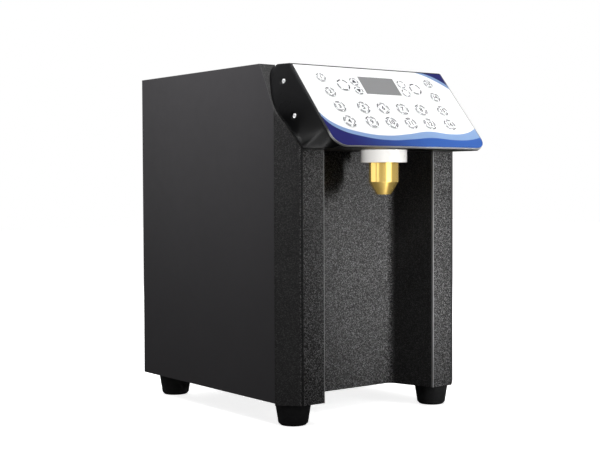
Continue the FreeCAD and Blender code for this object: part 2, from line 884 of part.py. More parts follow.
def hinge_pins():
    pins = []
    for centre in hinge_centres():
        start = centre - size.hinge_length / 2
        name = f"hinge_pin_{len(pins)}"
        pins.append(rod(name, size.hinge_pin_radius, size.hinge_length, start, hinge_y, hinge_z, "X"))
    return finish("hinge_pins", group("pin_group", pins))


def syrup_tank():
    xs, ys = (-tank_half, tank_half), (tank_front, tank_back)
    shell = rounded_block("tank_shell", xs, ys, (tank_bottom, tank_top), size.tank_corner)
    wall = size.tank_wall
    rim_xs, rim_ys = (-rim_half, rim_half), (rim_front, rim_back)
    rim = rounded_block("tank_rim", rim_xs, rim_ys, (tank_top - wall, tank_top), size.tank_rim)
    inner_xs = (-tank_half + wall, tank_half - wall)
    inner_ys = (tank_front + wall, tank_back - wall)
    inner_zs = (tank_bottom + wall, tank_top + size.overrun)
    inside = rounded_block("tank_inside", inner_xs, inner_ys, inner_zs, size.tank_corner - wall)
    drain_z = tank_bottom - size.overrun
    drain = rod("tank_drain", size.outlet_radius, 2 * size.overrun, 0, outlet_y, drain_z)
    port = rod("tank_probe_hole", size.probe_radius, 2 * size.overrun, size.probe_x, outlet_y, drain_z)
    return finish("syrup_tank", cut("tank_cut", fuse("tank_solid", shell, rim), inside, drain, port))


def tank_outlet():
    """A flanged spigot that hangs under the tank and ends in a hose tail."""
    flange = size.outlet_flange_thickness
    end = -size.outlet_length
    outline = [
        (size.barb_bore, size.tank_wall),
        (size.outlet_radius, size.tank_wall),
        (size.outlet_radius, 0),
        (size.outlet_flange_radius, 0),
        (size.outlet_flange_radius, -flange),
        (size.outlet_radius, -flange),
        (size.outlet_radius, end + size.hose_overlap),
        (size.barb_radius, end + size.hose_overlap),
        (size.barb_radius, end),
        (size.barb_bore, end),
    ]
    return finish("tank_outlet", turned("outlet_turned", outline, 0, outlet_y, tank_bottom))


def temperature_probe():
    """A probe through the tank's floor, sealed by its nut below."""
    nut = size.probe_nut_thickness
    outline = [
        (0, size.probe_reach),
        (size.probe_radius, size.probe_reach),
        (size.probe_radius, 0),
        (size.probe_nut_radius, 0),
        (size.probe_nut_radius, -nut),
        (size.probe_radius, -nut),
        (size.probe_radius, -nut - size.probe_tail),
        (0, -nut - size.probe_tail),
    ]
    return finish("temperature_probe", turned("probe_turned", outline, size.probe_x, outlet_y, tank_bottom))


def bent_path(points, radius):
    """A wire of straight runs joined by tangent arcs of one radius."""
    edges = []
    start = points[0]
    for before, corner, after in zip(points, points[1:], points[2:]):
        back, ahead = (before - corner).normalize(), (after - corner).normalize()
        half_angle = back.getAngle(ahead) / 2
        step = radius / math.tan(half_angle)
        enter, leave = corner + back * step, corner + ahead * step
        middle = (back + ahead).normalize()
        centre = corner + middle * (radius / math.sin(half_angle))
        edges.append(Part.LineSegment(start, enter).toShape())
        edges.append(Part.Arc(enter, centre - middle * radius, leave).toShape())
        start = leave
    edges.append(Part.LineSegment(start, points[-1]).toShape())
    return Part.Wire(edges)


def tube_shape(points, bend, outer, bore=None):
    """A tube along the path, checked against its section times its length."""
    path = bent_path(points, bend)
    direction = points[1] - points[0]
    solids = []
    for radius in (outer,) if bore is None else (outer, bore):
        ring = Part.Wire([Part.Circle(points[0], direction, radius).toShape()])
        solids.append(path.makePipeShell([ring], True, False))
    tube = solids[0] if bore is None else solids[0].cut(solids[1])
    section = math.pi * (outer ** 2 - (bore or 0) ** 2)
    print(f"tube length {path.Length:.1f} mm, volume over section times length "
          f"{tube.Volume / (section * path.Length):.4f}, bend radius {bend:.1f} mm")
    return tube


pump_top = pump_z + size.pump_height / 2
pump_low = pump_z - size.pump_height / 2
suction_start = tank_bottom - size.outlet_length + size.hose_overlap
suction_end = pump_low - size.port_length + size.hose_overlap
delivery_start = pump_top + size.port_length - size.hose_overlap


def suction_hose():
    points = [
        vector(0, outlet_y, suction_start),
        vector(0, outlet_y, floor + size.suction_rise),
        vector(0, pump_y, floor + size.suction_rise),
        vector(0, pump_y, suction_end),
    ]
    bend = size.suction_bend_radius.value
    tube = tube_shape(points, bend, size.hose_radius.value, size.barb_radius.value)
    return finish("suction_hose", shaped("suction_tube", tube))


def delivery_hose():
    points = [
        vector(0, pump_y, delivery_start),
        vector(0, pump_y, delivery_z),
        vector(0, nozzle_y, delivery_z),
        vector(0, nozzle_y, spigot_top),
    ]
    bend = size.delivery_bend_radius.value
    tube = tube_shape(points, bend, size.hose_radius.value, size.barb_radius.value)
    return finish("delivery_hose", shaped("delivery_tube", tube))


def hose_clamps():
    """Worm-drive bands round the hose ends, each with its tightening ear."""
    clamps = []
    middle = (size.hose_overlap - size.clamp_width) / 2
    places = [
        (outlet_y, suction_start - size.hose_overlap + middle),
        (pump_y, suction_end - size.hose_overlap + middle),
        (pump_y, delivery_start + middle),
        (nozzle_y, spigot_top + middle),
    ]
    for y, z in places:
        name = f"clamp_{len(clamps)}"
        outer = size.hose_radius + size.clamp_thickness
        band = rod(name + "_band", outer, size.clamp_width, 0, y, z)
        ear_xs = (0 * outer, outer + size.clamp_ear)
        ear_ys = (y - size.clamp_ear / 2, y + size.clamp_ear / 2)
        ear = box(name + "_ear", ear_xs, ear_ys, (z, z + size.clamp_width))
        bore = rod(name + "_bore", size.hose_radius, 3 * size.clamp_width, 0, y, z - size.clamp_width)
        clamps.append(cut(name, fuse(name + "_solid", band, ear), bore))
    return finish("hose_clamps", group("clamp_group", clamps))


# Gear pump: two meshing gears side by side, turned from behind
pitch_radius = size.gear_module * GEAR_TEETH / 2
gear_distance = 2 * pitch_radius + size.gear_spread
drive_x = -gear_distance / 2
idler_x = gear_distance / 2
tip_radius = pitch_radius + size.gear_module * size.gear_addendum_share
gear_front = pump_y - size.pump_gear_width / 2
gear_back = pump_y + size.pump_gear_width / 2
pocket_front = gear_front - size.gear_side_clearance
pocket_back = gear_back + size.gear_side_clearance
pump_back = pocket_back + size.pump_back_wall
bracket_back = pump_back + size.bracket_thickness


def tooth_flank(base, root, tip, half_tooth):
    """Points up one side of a tooth: a radial root, then the involute of the base circle."""
    steps = 6
    points = []
    if root < base:
        points.append((root, half_tooth))
    for index in range(steps + 1):
        radius = max(base, root) + (tip - max(base, root)) * index / steps
        roll = math.acos(min(1.0, base / radius))
        points.append((radius, half_tooth - (math.tan(roll) - roll)))
    return points


def gear_face(turn):
    """The outline of a gear about the Y axis, as one face in the XZ plane."""
    pitch = pitch_radius.value
    pressure = math.radians(size.gear_pressure_angle.value)
    base = pitch * math.cos(pressure)
    root = pitch - size.gear_module.value * size.gear_dedendum_share.value
    tip = tip_radius.value
    rolled = math.tan(pressure) - pressure
    half_tooth = math.pi / (2 * GEAR_TEETH) - size.gear_thinning.value / (2 * pitch) + rolled
    flank = tooth_flank(base, root, tip, half_tooth)
    corners = []
    for tooth in range(GEAR_TEETH):
        middle = turn + 2 * math.pi * tooth / GEAR_TEETH
        rising = [(radius, middle - angle) for radius, angle in flank]
        falling = [(radius, middle + angle) for radius, angle in reversed(flank)]
        corners += rising + falling
    ring = [FreeCAD.Vector(r * math.cos(a), 0, r * math.sin(a)) for r, a in corners]
    return Part.Face(Part.makePolygon(ring + ring[:1]))


def gear(label, x, turn, shaft_start, shaft_end):
    """A gear on its shaft, drawn about the Y axis and then set in the pump."""
    wheel = gear_face(turn).extrude(vector(0, size.pump_gear_width, 0))
    base = vector(0, shaft_start - gear_front, 0)
    length = value_of(shaft_end - shaft_start)
    shaft = Part.makeCylinder(size.gear_shaft_radius.value, length, base, Y_AXIS)
    item = shaped(label + "_shape", wheel.fuse(shaft).removeSplitter())
    return finish(label, place(item, x, gear_front, pump_z))


def pump_gears():
    front_stub = pocket_front - size.idler_stub
    drive_end = bracket_back + size.motor_socket - size.gear_side_clearance
    half_pitch = math.pi / GEAR_TEETH
    gear("drive_gear", drive_x, 0.0, front_stub, drive_end)
    gear("idler_gear", idler_x, half_pitch, front_stub, pocket_back + size.idler_stub)


def shaft_bore(name, x, start, end):
    radius = size.gear_shaft_radius + size.shaft_clearance
    return rod(name, radius, end - start, x, start, pump_z, "Y")


def pump_body():
    half = size.pump_width / 2
    block = box("pump_block", (-half, half), (pocket_front, pump_back), (pump_low, pump_top))
    pocket_radius = tip_radius + size.gear_tip_clearance
    depth = pocket_back - pocket_front + size.overrun
    start = pocket_front - size.overrun
    pockets = [
        rod(f"pump_pocket_{index}", pocket_radius, depth, x, start, pump_z, "Y")
        for index, x in enumerate((drive_x, idler_x))
    ]
    drive_bore = shaft_bore("pump_drive_bore", drive_x, pocket_front, pump_back + size.overrun)
    idler_end = pocket_back + size.idler_stub + size.gear_side_clearance
    idler_bore = shaft_bore("pump_idler_bore", idler_x, pocket_front, idler_end)
    port_span = size.pump_height + 2 * size.port_length
    ports = rod("pump_ports", size.barb_radius, port_span, 0, pump_y, pump_low - size.port_length)
    bore_span = port_span + 2 * size.overrun
    bore_start = pump_low - size.port_length - size.overrun
    bore = rod("pump_port_bore", size.barb_bore, bore_span, 0, pump_y, bore_start)
    body = fuse("pump_solid", block, ports)
    holes = pump_screw_holes("pump_screw_hole", pocket_front - size.overrun, pump_back + size.overrun)
    return finish("pump_body", cut("pump_cut", body, bore, drive_bore, idler_bore, *pockets, *holes))


def pump_cover():
    half = size.pump_width / 2
    front_face = pocket_front - size.pump_cover_thickness
    plate = box("cover_plate", (-half, half), (front_face, pocket_front), (pump_low, pump_top))
    bore_start = pocket_front - size.idler_stub - size.gear_side_clearance
    bores = [
        shaft_bore(f"cover_bore_{index}", x, bore_start, pocket_front + size.overrun)
        for index, x in enumerate((drive_x, idler_x))
    ]
    holes = pump_screw_holes("cover_screw_hole", front_face - size.overrun, pocket_front + size.overrun)
    return finish("pump_cover", cut("cover_cut", plate, *bores, *holes))


def gear_motor():
    gearbox_end = bracket_back + size.gearbox_length
    gearbox = rod("gearbox", size.gearbox_radius, size.gearbox_length, drive_x, bracket_back, pump_z, "Y")
    motor = rod("motor_can", size.motor_radius, size.motor_length, drive_x, gearbox_end, pump_z, "Y")
    socket_start = bracket_back - size.overrun
    socket = shaft_bore("motor_socket_bore", drive_x, socket_start, bracket_back + size.motor_socket)
    return finish("gear_motor", cut("motor_cut", fuse("motor_solid", gearbox, motor), socket))


def pump_bracket():
    half = size.bracket_width / 2
    low = floor + size.sheet
    upright = box("bracket_upright", (-half, half), (pump_back, bracket_back), (low, pump_top))
    foot_ys = (pump_back, bracket_back + size.bracket_foot)
    foot = box("bracket_foot_plate", (-half, half), foot_ys, (low, low + size.bracket_thickness))
    window_xs = (-size.bracket_window / 2, size.bracket_window / 2)
    window_ys = (pump_back - size.overrun, bracket_back + size.bracket_foot + size.overrun)
    window_zs = (low - size.overrun, low + size.bracket_window_height)
    window = box("bracket_window", window_xs, window_ys, window_zs)
    bore = shaft_bore("bracket_bore", drive_x, pump_back - size.overrun, bracket_back + size.overrun)
    holes = pump_screw_holes("bracket_hole", pump_back - size.overrun, bracket_back + size.overrun)
    holes += pan_screw_holes("bracket_foot_hole")
    folded = fuse("bracket_folded", upright, foot)
    return finish("pump_bracket", cut("bracket_cut", folded, window, bore, *holes))


def power_supply():
    """A covered supply unit with its terminal strip stepped down at one end."""
    half = size.supply_width / 2
    low = floor + size.sheet
    xs = (supply_x - half, supply_x + half)
    ys = (supply_y - size.supply_length / 2, supply_y + size.supply_length / 2)
    case = box("supply_case", xs, ys, (low, low + size.supply_height))
    step_ys = (ys[0] - size.overrun, ys[0] + size.supply_terminals)
    step_zs = (low + size.supply_height / 2, low + size.supply_height + size.overrun)
    step = box("supply_step", (xs[0] + size.sheet, xs[1] - size.sheet), step_ys, step_zs)
    return finish("power_supply", cut("supply_cut", case, step, *pan_screw_holes("supply_hole")))


def mains_inlet():
    x, z = inlet_x, inlet_z
    half, rise = size.inlet_width / 2, size.inlet_height / 2
    body_ys = (rear - size.inlet_depth, rear)
    body = box("inlet_body", (x - half, x + half), body_ys, (z - rise, z + rise))
    edge = size.inlet_bezel
    bezel_ys = (rear, rear + size.inlet_bezel_thickness)
    bezel_xs = (x - half - edge, x + half + edge)
    bezel = box("inlet_bezel_plate", bezel_xs, bezel_ys, (z - rise - edge, z + rise + edge))
    socket_half = size.inlet_socket_width / 2
    socket_rise = size.inlet_socket_height / 2
    face = rear + size.inlet_bezel_thickness
    socket_ys = (face - size.inlet_socket_depth, face + size.overrun)
    socket_xs = (x - socket_half, x + socket_half)
    socket = box("inlet_socket", socket_xs, socket_ys, (z - socket_rise, z + socket_rise))
    pins = []
    for index in (-1, 0, 1):
        pin_x = x + size.inlet_pin_spacing * index
        pin_z = z + size.inlet_pin_rise * (1 - 2 * abs(index))
        pin_xs = (pin_x - size.inlet_pin_width / 2, pin_x + size.inlet_pin_width / 2)
        pin_ys = (socket_ys[0] - size.sheet, socket_ys[0] + size.inlet_pin_length)
        pin_zs = (pin_z - size.inlet_pin_height / 2, pin_z + size.inlet_pin_height / 2)
        pins.append(box(f"inlet_pin_{len(pins)}", pin_xs, pin_ys, pin_zs))
    hollow = cut("inlet_hollow", fuse("inlet_solid", body, bezel), socket)
    return finish("mains_inlet", fuse("inlet_whole", hollow, *pins))


def power_switch():
    """A rocker switch: a snap-in frame, and a rocker on a pin across it."""
    x, z = inlet_x, switch_z
    half, rise = size.switch_width / 2, size.switch_height / 2
    body_ys = (rear - size.switch_depth, rear)
    body = box("switch_body", (x - half, x + half), body_ys, (z - rise, z + rise))
    edge = size.switch_bezel
    bezel_ys = (rear, rear + size.switch_bezel_thickness)
    bezel_xs = (x - half - edge, x + half + edge)
    bezel = box("switch_bezel_plate", bezel_xs, bezel_ys, (z - rise - edge, z + rise + edge))
    axis_y = rear - size.rocker_base
    room_half = size.rocker_width / 2 + size.rocker_clearance
    room_radius = size.rocker_radius + size.rocker_clearance
    room = rod("switch_room", room_radius, 2 * room_half, x - room_half, axis_y, z, "X")
    mouth_ys = (axis_y, rear + size.overrun)
    mouth_xs, mouth_zs = (x - room_half, x + room_half), (z - room_radius, z + room_radius)
    mouth = box("switch_mouth", mouth_xs, mouth_ys, mouth_zs)
    pin = rod("switch_pin", size.rocker_pivot_radius, 2 * half, x - half, axis_y, z, "X")
    frame = cut("switch_hollow", fuse("switch_solid", body, bezel), room, mouth)
    finish("power_switch_frame", fuse("switch_whole", frame, pin))
    rocker_half = size.rocker_width / 2
    disc = rod("rocker_disc", size.rocker_radius, 2 * rocker_half, -rocker_half, 0, 0, "X")
    crown = size.rocker_base + size.switch_bezel_thickness
    reach = size.rocker_radius + size.overrun
    outline = [
        (-size.rocker_radius / 2, -reach),
        (crown, -reach),
        (crown, -size.rocker_radius),
        (crown - size.rocker_dip, 0),
        (crown, size.rocker_radius),
        (crown, reach),
        (-size.rocker_radius / 2, reach),
    ]
    wedge_start = -rocker_half - size.overrun
    wedge_length = 2 * rocker_half + 2 * size.overrun
    wedge = prism("rocker_wedge", "YZ_Plane", outline, wedge_start, wedge_length)
    bore_radius = size.rocker_pivot_radius + size.shaft_clearance
    bore_length = 2 * rocker_half + 2 * size.overrun
    bore = rod("rocker_bore", bore_radius, bore_length, -rocker_half - size.overrun, 0, 0, "X")
    rocker = cut("rocker_cut", common("rocker_form", disc, wedge), bore)
    place(rocker, x, axis_y, z, (X_AXIS, size.rocker_tilt_angle))
    finish("power_rocker", rocker)


def feet():
    """Tapered rubber feet, each hollowed from below for its screw."""
    grip = size.screw_radius + size.shaft_clearance
    shelf = size.foot_recess_depth
    outline = [
        (grip, shelf),
        (size.foot_recess_radius, shelf),
        (size.foot_recess_radius, 0),
        (size.foot_base_radius - size.foot_base_round, 0),
        (size.foot_base_radius, size.foot_base_round),
        (size.foot_neck_radius, size.foot_height - size.foot_rim),
        (size.foot_top_radius, size.foot_height - size.foot_rim),
        (size.foot_top_radius, size.foot_height),
        (grip, size.foot_height),
    ]
    items = [turned(f"foot_{index}", outline, x, y) for index, (x, y) in enumerate(foot_places())]
    return finish("feet", group("feet_group", items))


def pump_screws():
    """Places across and up of the screws through the pump's cover and body."""
    across = size.pump_width / 2 - size.overrun
    rise = size.pump_height / 2 - size.overrun
    return [(side * across, pump_z + level * rise) for side in SIDES for level in SIDES]


def pump_screw_holes(name, start, end):
    radius = size.screw_radius + size.shaft_clearance
    return [
        rod(f"{name}_{index}", radius, end - start, x, start, z, "Y")
        for index, (x, z) in enumerate(pump_screws())
    ]


def pan_screws():
    """Places of the screws up through the base pan into the bracket and the supply."""
    bracket_y = bracket_back + size.bracket_foot / 2
    across = size.bracket_width / 2 - 2 * size.screw_head_radius
    along = size.supply_length / 3
    places = [(side * across, bracket_y) for side in SIDES]
    return places + [(supply_x, supply_y + side * along) for side in SIDES]


def pan_screw_holes(name):
    radius = size.screw_radius + size.shaft_clearance
    length = size.overrun + size.screw_length
    return [
        rod(f"{name}_{index}", radius, length, x, y, floor - size.overrun)
        for index, (x, y) in enumerate(pan_screws())
    ]


def screw_outline(length):
    return [
        (0, 0),
        (size.screw_head_radius, 0),
        (size.screw_head_radius, size.screw_head_height),
        (size.screw_radius, size.screw_head_height),
        (size.screw_radius, size.screw_head_height + length),
        (0, size.screw_head_height + length),
    ]


def cabinet_screws():
    """Pan-head screws: one up through each foot, and a row down each side of the rear panel."""
    items = []
    foot_grip = size.foot_height - size.foot_recess_depth + size.screw_length / 2
    start = size.foot_recess_depth - size.screw_head_height
    for x, y in foot_places():
        items.append(turned(f"screw_{len(items)}", screw_outline(foot_grip), x, y, start))
    for side in SIDES:
        for x, z in rear_screws(side):
            head = rear + size.screw_head_height
            outline = screw_outline(size.screw_length / 2)
            items.append(turned(f"screw_{len(items)}", outline, x, head, z, TURNS["-Y"]))
    for x, y in pan_screws():
        outline = screw_outline(size.screw_length / 2)
        items.append(turned(f"screw_{len(items)}", outline, x, y, floor - size.screw_head_height))
    cover_front = pocket_front - size.pump_cover_thickness
    for x, z in pump_screws():
        outline = screw_outline(bracket_back + size.sheet - cover_front)
        head = cover_front - size.screw_head_height
        items.append(turned(f"screw_{len(items)}", outline, x, head, z, TURNS["Y"]))
    return finish("cabinet_screws", group("screw_group", items))


# Control console
front_offset = size.overlay_thickness + size.plate_thickness
wedge_rise = sine(slant.angle) * cosine(panel.angle) - cosine(slant.angle) * sine(panel.angle)
wedge_run = cosine(slant.angle) * cosine(panel.angle) + sine(slant.angle) * sine(panel.angle)


def roof_height(down):
    """Height of the housing's front plane over the slanted face, down the slope."""
    run = size.console_top_depth * cosine(slant.angle)
    start = size.console_top_depth * sine(slant.angle)
    climb = (down - run) * wedge_rise / wedge_run
    return start + climb - front_offset / wedge_run


def cheek_form(name, inset):
    """The housing's body between its rounded ears, lofted down the slope."""
    body = document.addObject("PartDesign::Body", name)
    behind = -2 * size.overrun
    sections = []
    for down_share, foot_share, crest_share, height_share in CHEEK_SHARES:
        down = size.housing_length * down_share
        foot = panel_half + size.ear_width * foot_share - inset
        edge = panel_half + size.ear_width * crest_share - inset
        height = size.ear_height * height_share - inset
        roof = roof_height(down) - inset
        rim = panel_half - inset
        crown_x = rim - (edge - rim) / 2
        crown = roof + (roof - height) / 2
        splay = (foot - edge) * (-behind) / height
        right = [(foot + splay, behind), (edge, height), (crown_x, crown)]
        outline = right + [(-across, out) for across, out in reversed(right)]
        sections.append(sketch_outline(body, f"{name}_section_{len(sections)}", "XZ_Plane", outline, down))
    loft = body.newObject("PartDesign::AdditiveLoft", name + "_loft")
    loft.Profile = sections[0]
    loft.Sections = sections[1:]
    slant.place(body, 0, 0, 0)
    document.recompute()
    foot_ups = (-size.housing_length, -down)
    chin = tilted_box(name + "_chin", slant, (-rim, rim), foot_ups, (behind, size.housing_length))
    return fuse(name + "_whole", body, chin)


def corner_trim(name, inset):
    """All that lies above the housing's lower corners, which are rounded like the panel's."""
    half = panel_half - inset
    low, start = inset - size.panel_length, size.panel_bottom_corner - size.panel_length
    outs = (-size.housing_length, size.overrun)
    corners = [(-half, low), (half, low), (half, start + size.overrun), (-half, start + size.overrun)]
    rounded = prism(name + "_rounded", "XY_Plane", corners, outs[0], outs[1] - outs[0])
    round_corners(rounded, size.panel_bottom_corner - inset, corners[:2])
    panel.place(rounded, 0, 0, 0)
    wide = (-half_width, half_width)
    above = tilted_box(name + "_above", panel, wide, (start, size.housing_length), outs)
    return fuse(name, rounded, above)


def console_profile(name, inset):
    """The console seen from the side, from the slanted face to the front plane."""
    top_y, top_z = panel.point(0 * inset, -front_offset - inset)
    lift = (top - inset - top_z) * cosine(panel.angle) / sine(panel.angle)
    nose_up = size.housing_nose_margin - size.panel_length + inset
    nose_y, nose_z = panel.point(nose_up, -front_offset - inset)
    under = bay_top + inset
    setback = size.overrun if inset.value > 0 else 0 * size.overrun
    chin_y = nose_y + size.housing_nose_setback
    outline = [
        (crest + setback, top - inset),
        (top_y + lift, top - inset),
        (nose_y, nose_z),
        (chin_y, under),
        (front + inset / chamfer_ratio + setback, under),
    ]
    width = size.cabinet_width
    return prism(name, "YZ_Plane", outline, -width / 2, width)


def housing_form(name, inset):
    """The housing as one solid, or the same drawn in by an even amount."""
    cheeks, profile = cheek_form(name + "_cheeks", inset), console_profile(name + "_profile", inset)
    return common(name, common(name + "_sides", cheeks, profile), corner_trim(name + "_corners", inset))


rooms = {}


def housing_room():
    """The hollow inside the housing, which the tabs of the slanted face stand in."""
    if "room" not in rooms:
        rooms["room"] = housing_form("housing_room", size.housing_wall)
    return rooms["room"]


def console_housing():
    solid = housing_form("housing_solid", 0 * size.housing_wall)
    window_half = panel_half - size.window_margin_side
    ups = (size.window_margin_bottom - size.panel_length, -size.window_margin_top)
    outs = (-front_offset - size.housing_wall - size.overrun, -front_offset + size.overrun)
    window = tilted_box("housing_window", panel, (-window_half, window_half), ups, outs)
    spigot_radius = size.collar_spigot_radius + size.well_clearance
    spigot_start = bay_top - size.overrun
    spigot = rod("housing_spigot_hole", spigot_radius, 3 * size.overrun, 0, nozzle_y, spigot_start)
    shell = cut("housing_shell", solid, housing_room(), window, spigot)
    bosses, bores, seats = [], [], []
    for side in SIDES:
        along = "X" if side > 0 else "-X"
        for down in (size.console_screw_upper, size.console_screw_lower):
            y, z = slant.point(-down, size.console_screw_out)
            number = len(bosses)
            length = 2 * size.overrun
            start = side * lug_face
            bosses.append(rod(f"boss_{number}", size.console_boss_radius, length, start, y, z, along))
            bores.append(console_screw_rod(f"boss_bore_{number}", side, down, size.shaft_clearance))
            seat_radius = size.console_screw_head_radius + size.key_clearance
            seat_start = side * screw_seat
            seats.append(rod(f"boss_seat_{number}", seat_radius, length, seat_start, y, z, along))
    inside_bosses = common("boss_trim", fuse("boss_rods", *bosses), solid)
    whole = fuse("housing_whole", shell, inside_bosses)
    return finish("console_housing", cut("housing_cut", whole, *bores, *seats))


def console_screws():
    items = []
    outline = [
        (0, 0),
        (size.console_screw_radius, 0),
        (size.console_screw_radius, size.console_screw_length),
        (size.console_screw_head_radius, size.console_screw_length),
        (size.console_screw_head_radius * size.console_screw_crown_share,
         size.console_screw_length + size.console_screw_head_height),
        (0, size.console_screw_length + size.console_screw_head_height),
    ]
    for side in SIDES:
        for down in (size.console_screw_upper, size.console_screw_lower):
            y, z = slant.point(-down, size.console_screw_out)
            start = side * (screw_seat - size.console_screw_length)
            turn = TURNS["X" if side > 0 else "-X"]
            items.append(turned(f"console_screw_{len(items)}", outline, start, y, z, turn))
    return finish("console_screws", group("console_screw_group", items))


def key_layout():
    """Each key's name, its place across and down the panel, and its width.

    The two side columns lean a little towards each other, and their keys grow, down the panel.
    """
    keys = []
    for index in range(KEYS_PER_COLUMN):
        down = size.first_row + size.row_spacing * index
        width = size.side_key_width + size.side_key_step * index
        reach = panel_width * (size.side_column_share - size.side_column_lean_share * index)
        for name, side in (("left", -1), ("right", 1)):
            keys.append((f"key_{name}_{index + 1}", size.keypad_offset + side * reach, down, width))
        steps_off_middle = index - (KEYS_PER_COLUMN - 1) / 2
        across = size.keypad_offset + panel_width * size.column_spacing_share * steps_off_middle
        for name, steps in (("upper", 2), ("lower", 3)):
            row = size.first_row + size.row_spacing * steps
            keys.append((f"key_{name}_{index + 1}", across, row, size.portion_key_width))
    for name, side in (("start", -1), ("stop", 1)):
        across = size.keypad_offset + side * panel_width * size.large_key_share
        keys.append((f"key_{name}", across, size.large_key_row, size.large_key_width))
    for name, side, steps in (("more", -1, 0), ("less", -1, 1), ("set", 1, 0), ("clear", 1, 1)):
        across = size.keypad_offset + side * panel_width * size.setting_key_share
        down = size.setting_row + size.setting_spacing * steps
        keys.append((f"key_{name}", across, down, size.setting_key_width))
    return keys


def panel_sheet(name, margin, outs):
    half = panel_half - margin
    low, high = margin - size.panel_length, -margin
    corners = [(-half, low), (half, low), (half, high), (-half, high)]
    plate = prism(name, "XY_Plane", corners, outs[0], outs[1] - outs[0])
    round_corners(plate, size.panel_bottom_corner - margin, corners[:2])
    sharp = size.panel_top_corner - margin
    rounding = plate.Tip
    chosen = []
    for number, edge in enumerate(rounding.Shape.Edges, start=1):
        low_end, high_end = edge.Vertexes[0].Point, edge.Vertexes[-1].Point
        upright = abs(low_end.x - high_end.x) < 1e-6 and abs(low_end.y - high_end.y) < 1e-6
        if upright and abs(low_end.y - high.value) < 1e-4:
            chosen.append(f"Edge{number}")
    second = plate.newObject("PartDesign::Fillet", name + "_top_rounding")
    second.Base = (rounding, chosen)
    bind(second, {"Radius": sharp})
    plate.Tip = second
    return panel.place(plate, 0, 0, 0)


def key_holes(name, outs):
    holes = []
    for key, across, down, width in key_layout():
        radius = width / 2 + size.key_clearance
        holes.append(tilted_rod(f"{name}_{key}", panel, radius, across, -down, outs))
    return holes


plate_back = -size.overlay_thickness - size.plate_thickness
board_front = plate_back - size.board_depth


def display_edges(margin):
    half = panel_width * size.display_width_share / 2 + margin
    rise = size.display_height / 2 + margin
    middle = size.keypad_offset / 2
    return (middle - half, middle + half), (-size.display_row - rise, -size.display_row + rise)


def standoff_places():
    across = panel_half - size.board_side_margin - size.standoff_inset
    near = -size.board_margin - size.standoff_inset
    far = -size.board_margin - size.board_length + size.standoff_inset
    return [(side * across, up) for side in SIDES for up in (near, far)]


def face_plate():
    sheet_metal = panel_sheet("plate_sheet", 0 * size.sheet, (plate_back, -size.overlay_thickness))
    through = (plate_back - size.overrun, size.overrun)
    xs, ups = display_edges(size.key_clearance)
    opening = tilted_box("plate_display_hole", panel, xs, ups, through)
    pillars = []
    for across, up in standoff_places():
        name = f"standoff_{len(pillars)}"
        pillars.append(tilted_rod(name, panel, size.standoff_radius, across, up, (board_front, plate_back)))
    pierced = cut("plate_pierced", sheet_metal, opening, *key_holes("plate_hole", through))
    return finish("face_plate", fuse("plate_whole", pierced, *pillars))


def panel_overlay():
    outs = (-size.overlay_thickness, 0 * size.overlay_thickness)
    film = panel_sheet("overlay_film", size.overlay_margin, outs)
    through = (-size.overrun, size.overrun)
    xs, ups = display_edges(size.key_clearance)
    window = tilted_box("overlay_window", panel, xs, ups, through)
    holes = key_holes("overlay_hole", through)
    return finish("panel_overlay", cut("overlay_pierced", film, window, *holes))


def display_module():
    level = 0 * size.overlay_thickness
    xs, ups = display_edges(level)
    glass = tilted_box("display_glass", panel, xs, ups, (board_front, level))
    return finish("display_module", glass)


def control_board():
    """The board behind the panel, with a push switch under every key."""
    half = panel_half - size.board_side_margin
    ups = (-size.board_margin - size.board_length, -size.board_margin)
    back = board_front - size.board_thickness
    board = tilted_box("board_sheet", panel, (-half, half), ups, (back, board_front))
    switches = []
    for key, across, down, _ in key_layout():
        name = f"tact_{key}"
        reach = size.tact_width / 2
        body_xs, body_ups = (across - reach, across + reach), (-down - reach, -down + reach)
        body_top = board_front + size.tact_height
        body_outs = (board_front - size.board_thickness / 2, body_top)
        switches.append(tilted_box(name, panel, body_xs, body_ups, body_outs))
        plunger_outs = (body_top - size.board_thickness / 2, body_top + size.tact_plunger)
        radius = size.tact_plunger_radius
        switches.append(tilted_rod(name + "_plunger", panel, radius, across, -down, plunger_outs))
    return finish("control_board", fuse("board_whole", board, *switches))


def keys():
    """Round keys, each held behind the plate by its flange, with a stem over its switch."""
    for name, across, down, width in key_layout():
        flange_top = plate_back - size.key_clearance
        flange_low = flange_top - size.key_flange_thickness
        cap = tilted_rod(name + "_cap", panel, width / 2, across, -down, (flange_low, size.key_proud))
        rim_radius = width / 2 + size.key_flange
        rim = tilted_rod(name + "_rim", panel, rim_radius, across, -down, (flange_low, flange_top))
        stem_low = board_front + size.tact_height + size.tact_plunger + size.key_travel
        stem_outs = (stem_low + size.key_clearance, flange_top)
        stem = tilted_rod(name + "_stem", panel, size.key_stem_radius, across, -down, stem_outs)
        finish(name, fuse(name + "_whole", cap, rim, stem))


# Nozzle under the console, with its spring-loaded check valve
nozzle_shoulder = collar_bottom - size.nozzle_barrel_height
nozzle_mouth = nozzle_shoulder - size.nozzle_cone_height
nozzle_floor = nozzle_mouth + size.nozzle_floor_height


def nozzle_collar():
    """The white collar that hangs the nozzle under the console and takes the hose above."""
    tail_top = spigot_top + size.hose_overlap
    outline = [
        (size.collar_bore, collar_bottom - size.nozzle_neck_height / 2),
        (size.nozzle_neck_radius, collar_bottom - size.nozzle_neck_height / 2),
        (size.nozzle_neck_radius, collar_bottom),
        (size.collar_radius, collar_bottom),
        (size.collar_radius, bay_top),
        (size.collar_spigot_radius, bay_top),
        (size.collar_spigot_radius, spigot_top),
        (size.barb_radius, spigot_top),
        (size.barb_radius, tail_top),
        (size.barb_bore, tail_top),
        (size.barb_bore, spigot_top),
        (size.collar_bore, spigot_top),
    ]
    return finish("nozzle_collar", turned("collar_turned", outline, 0, nozzle_y))


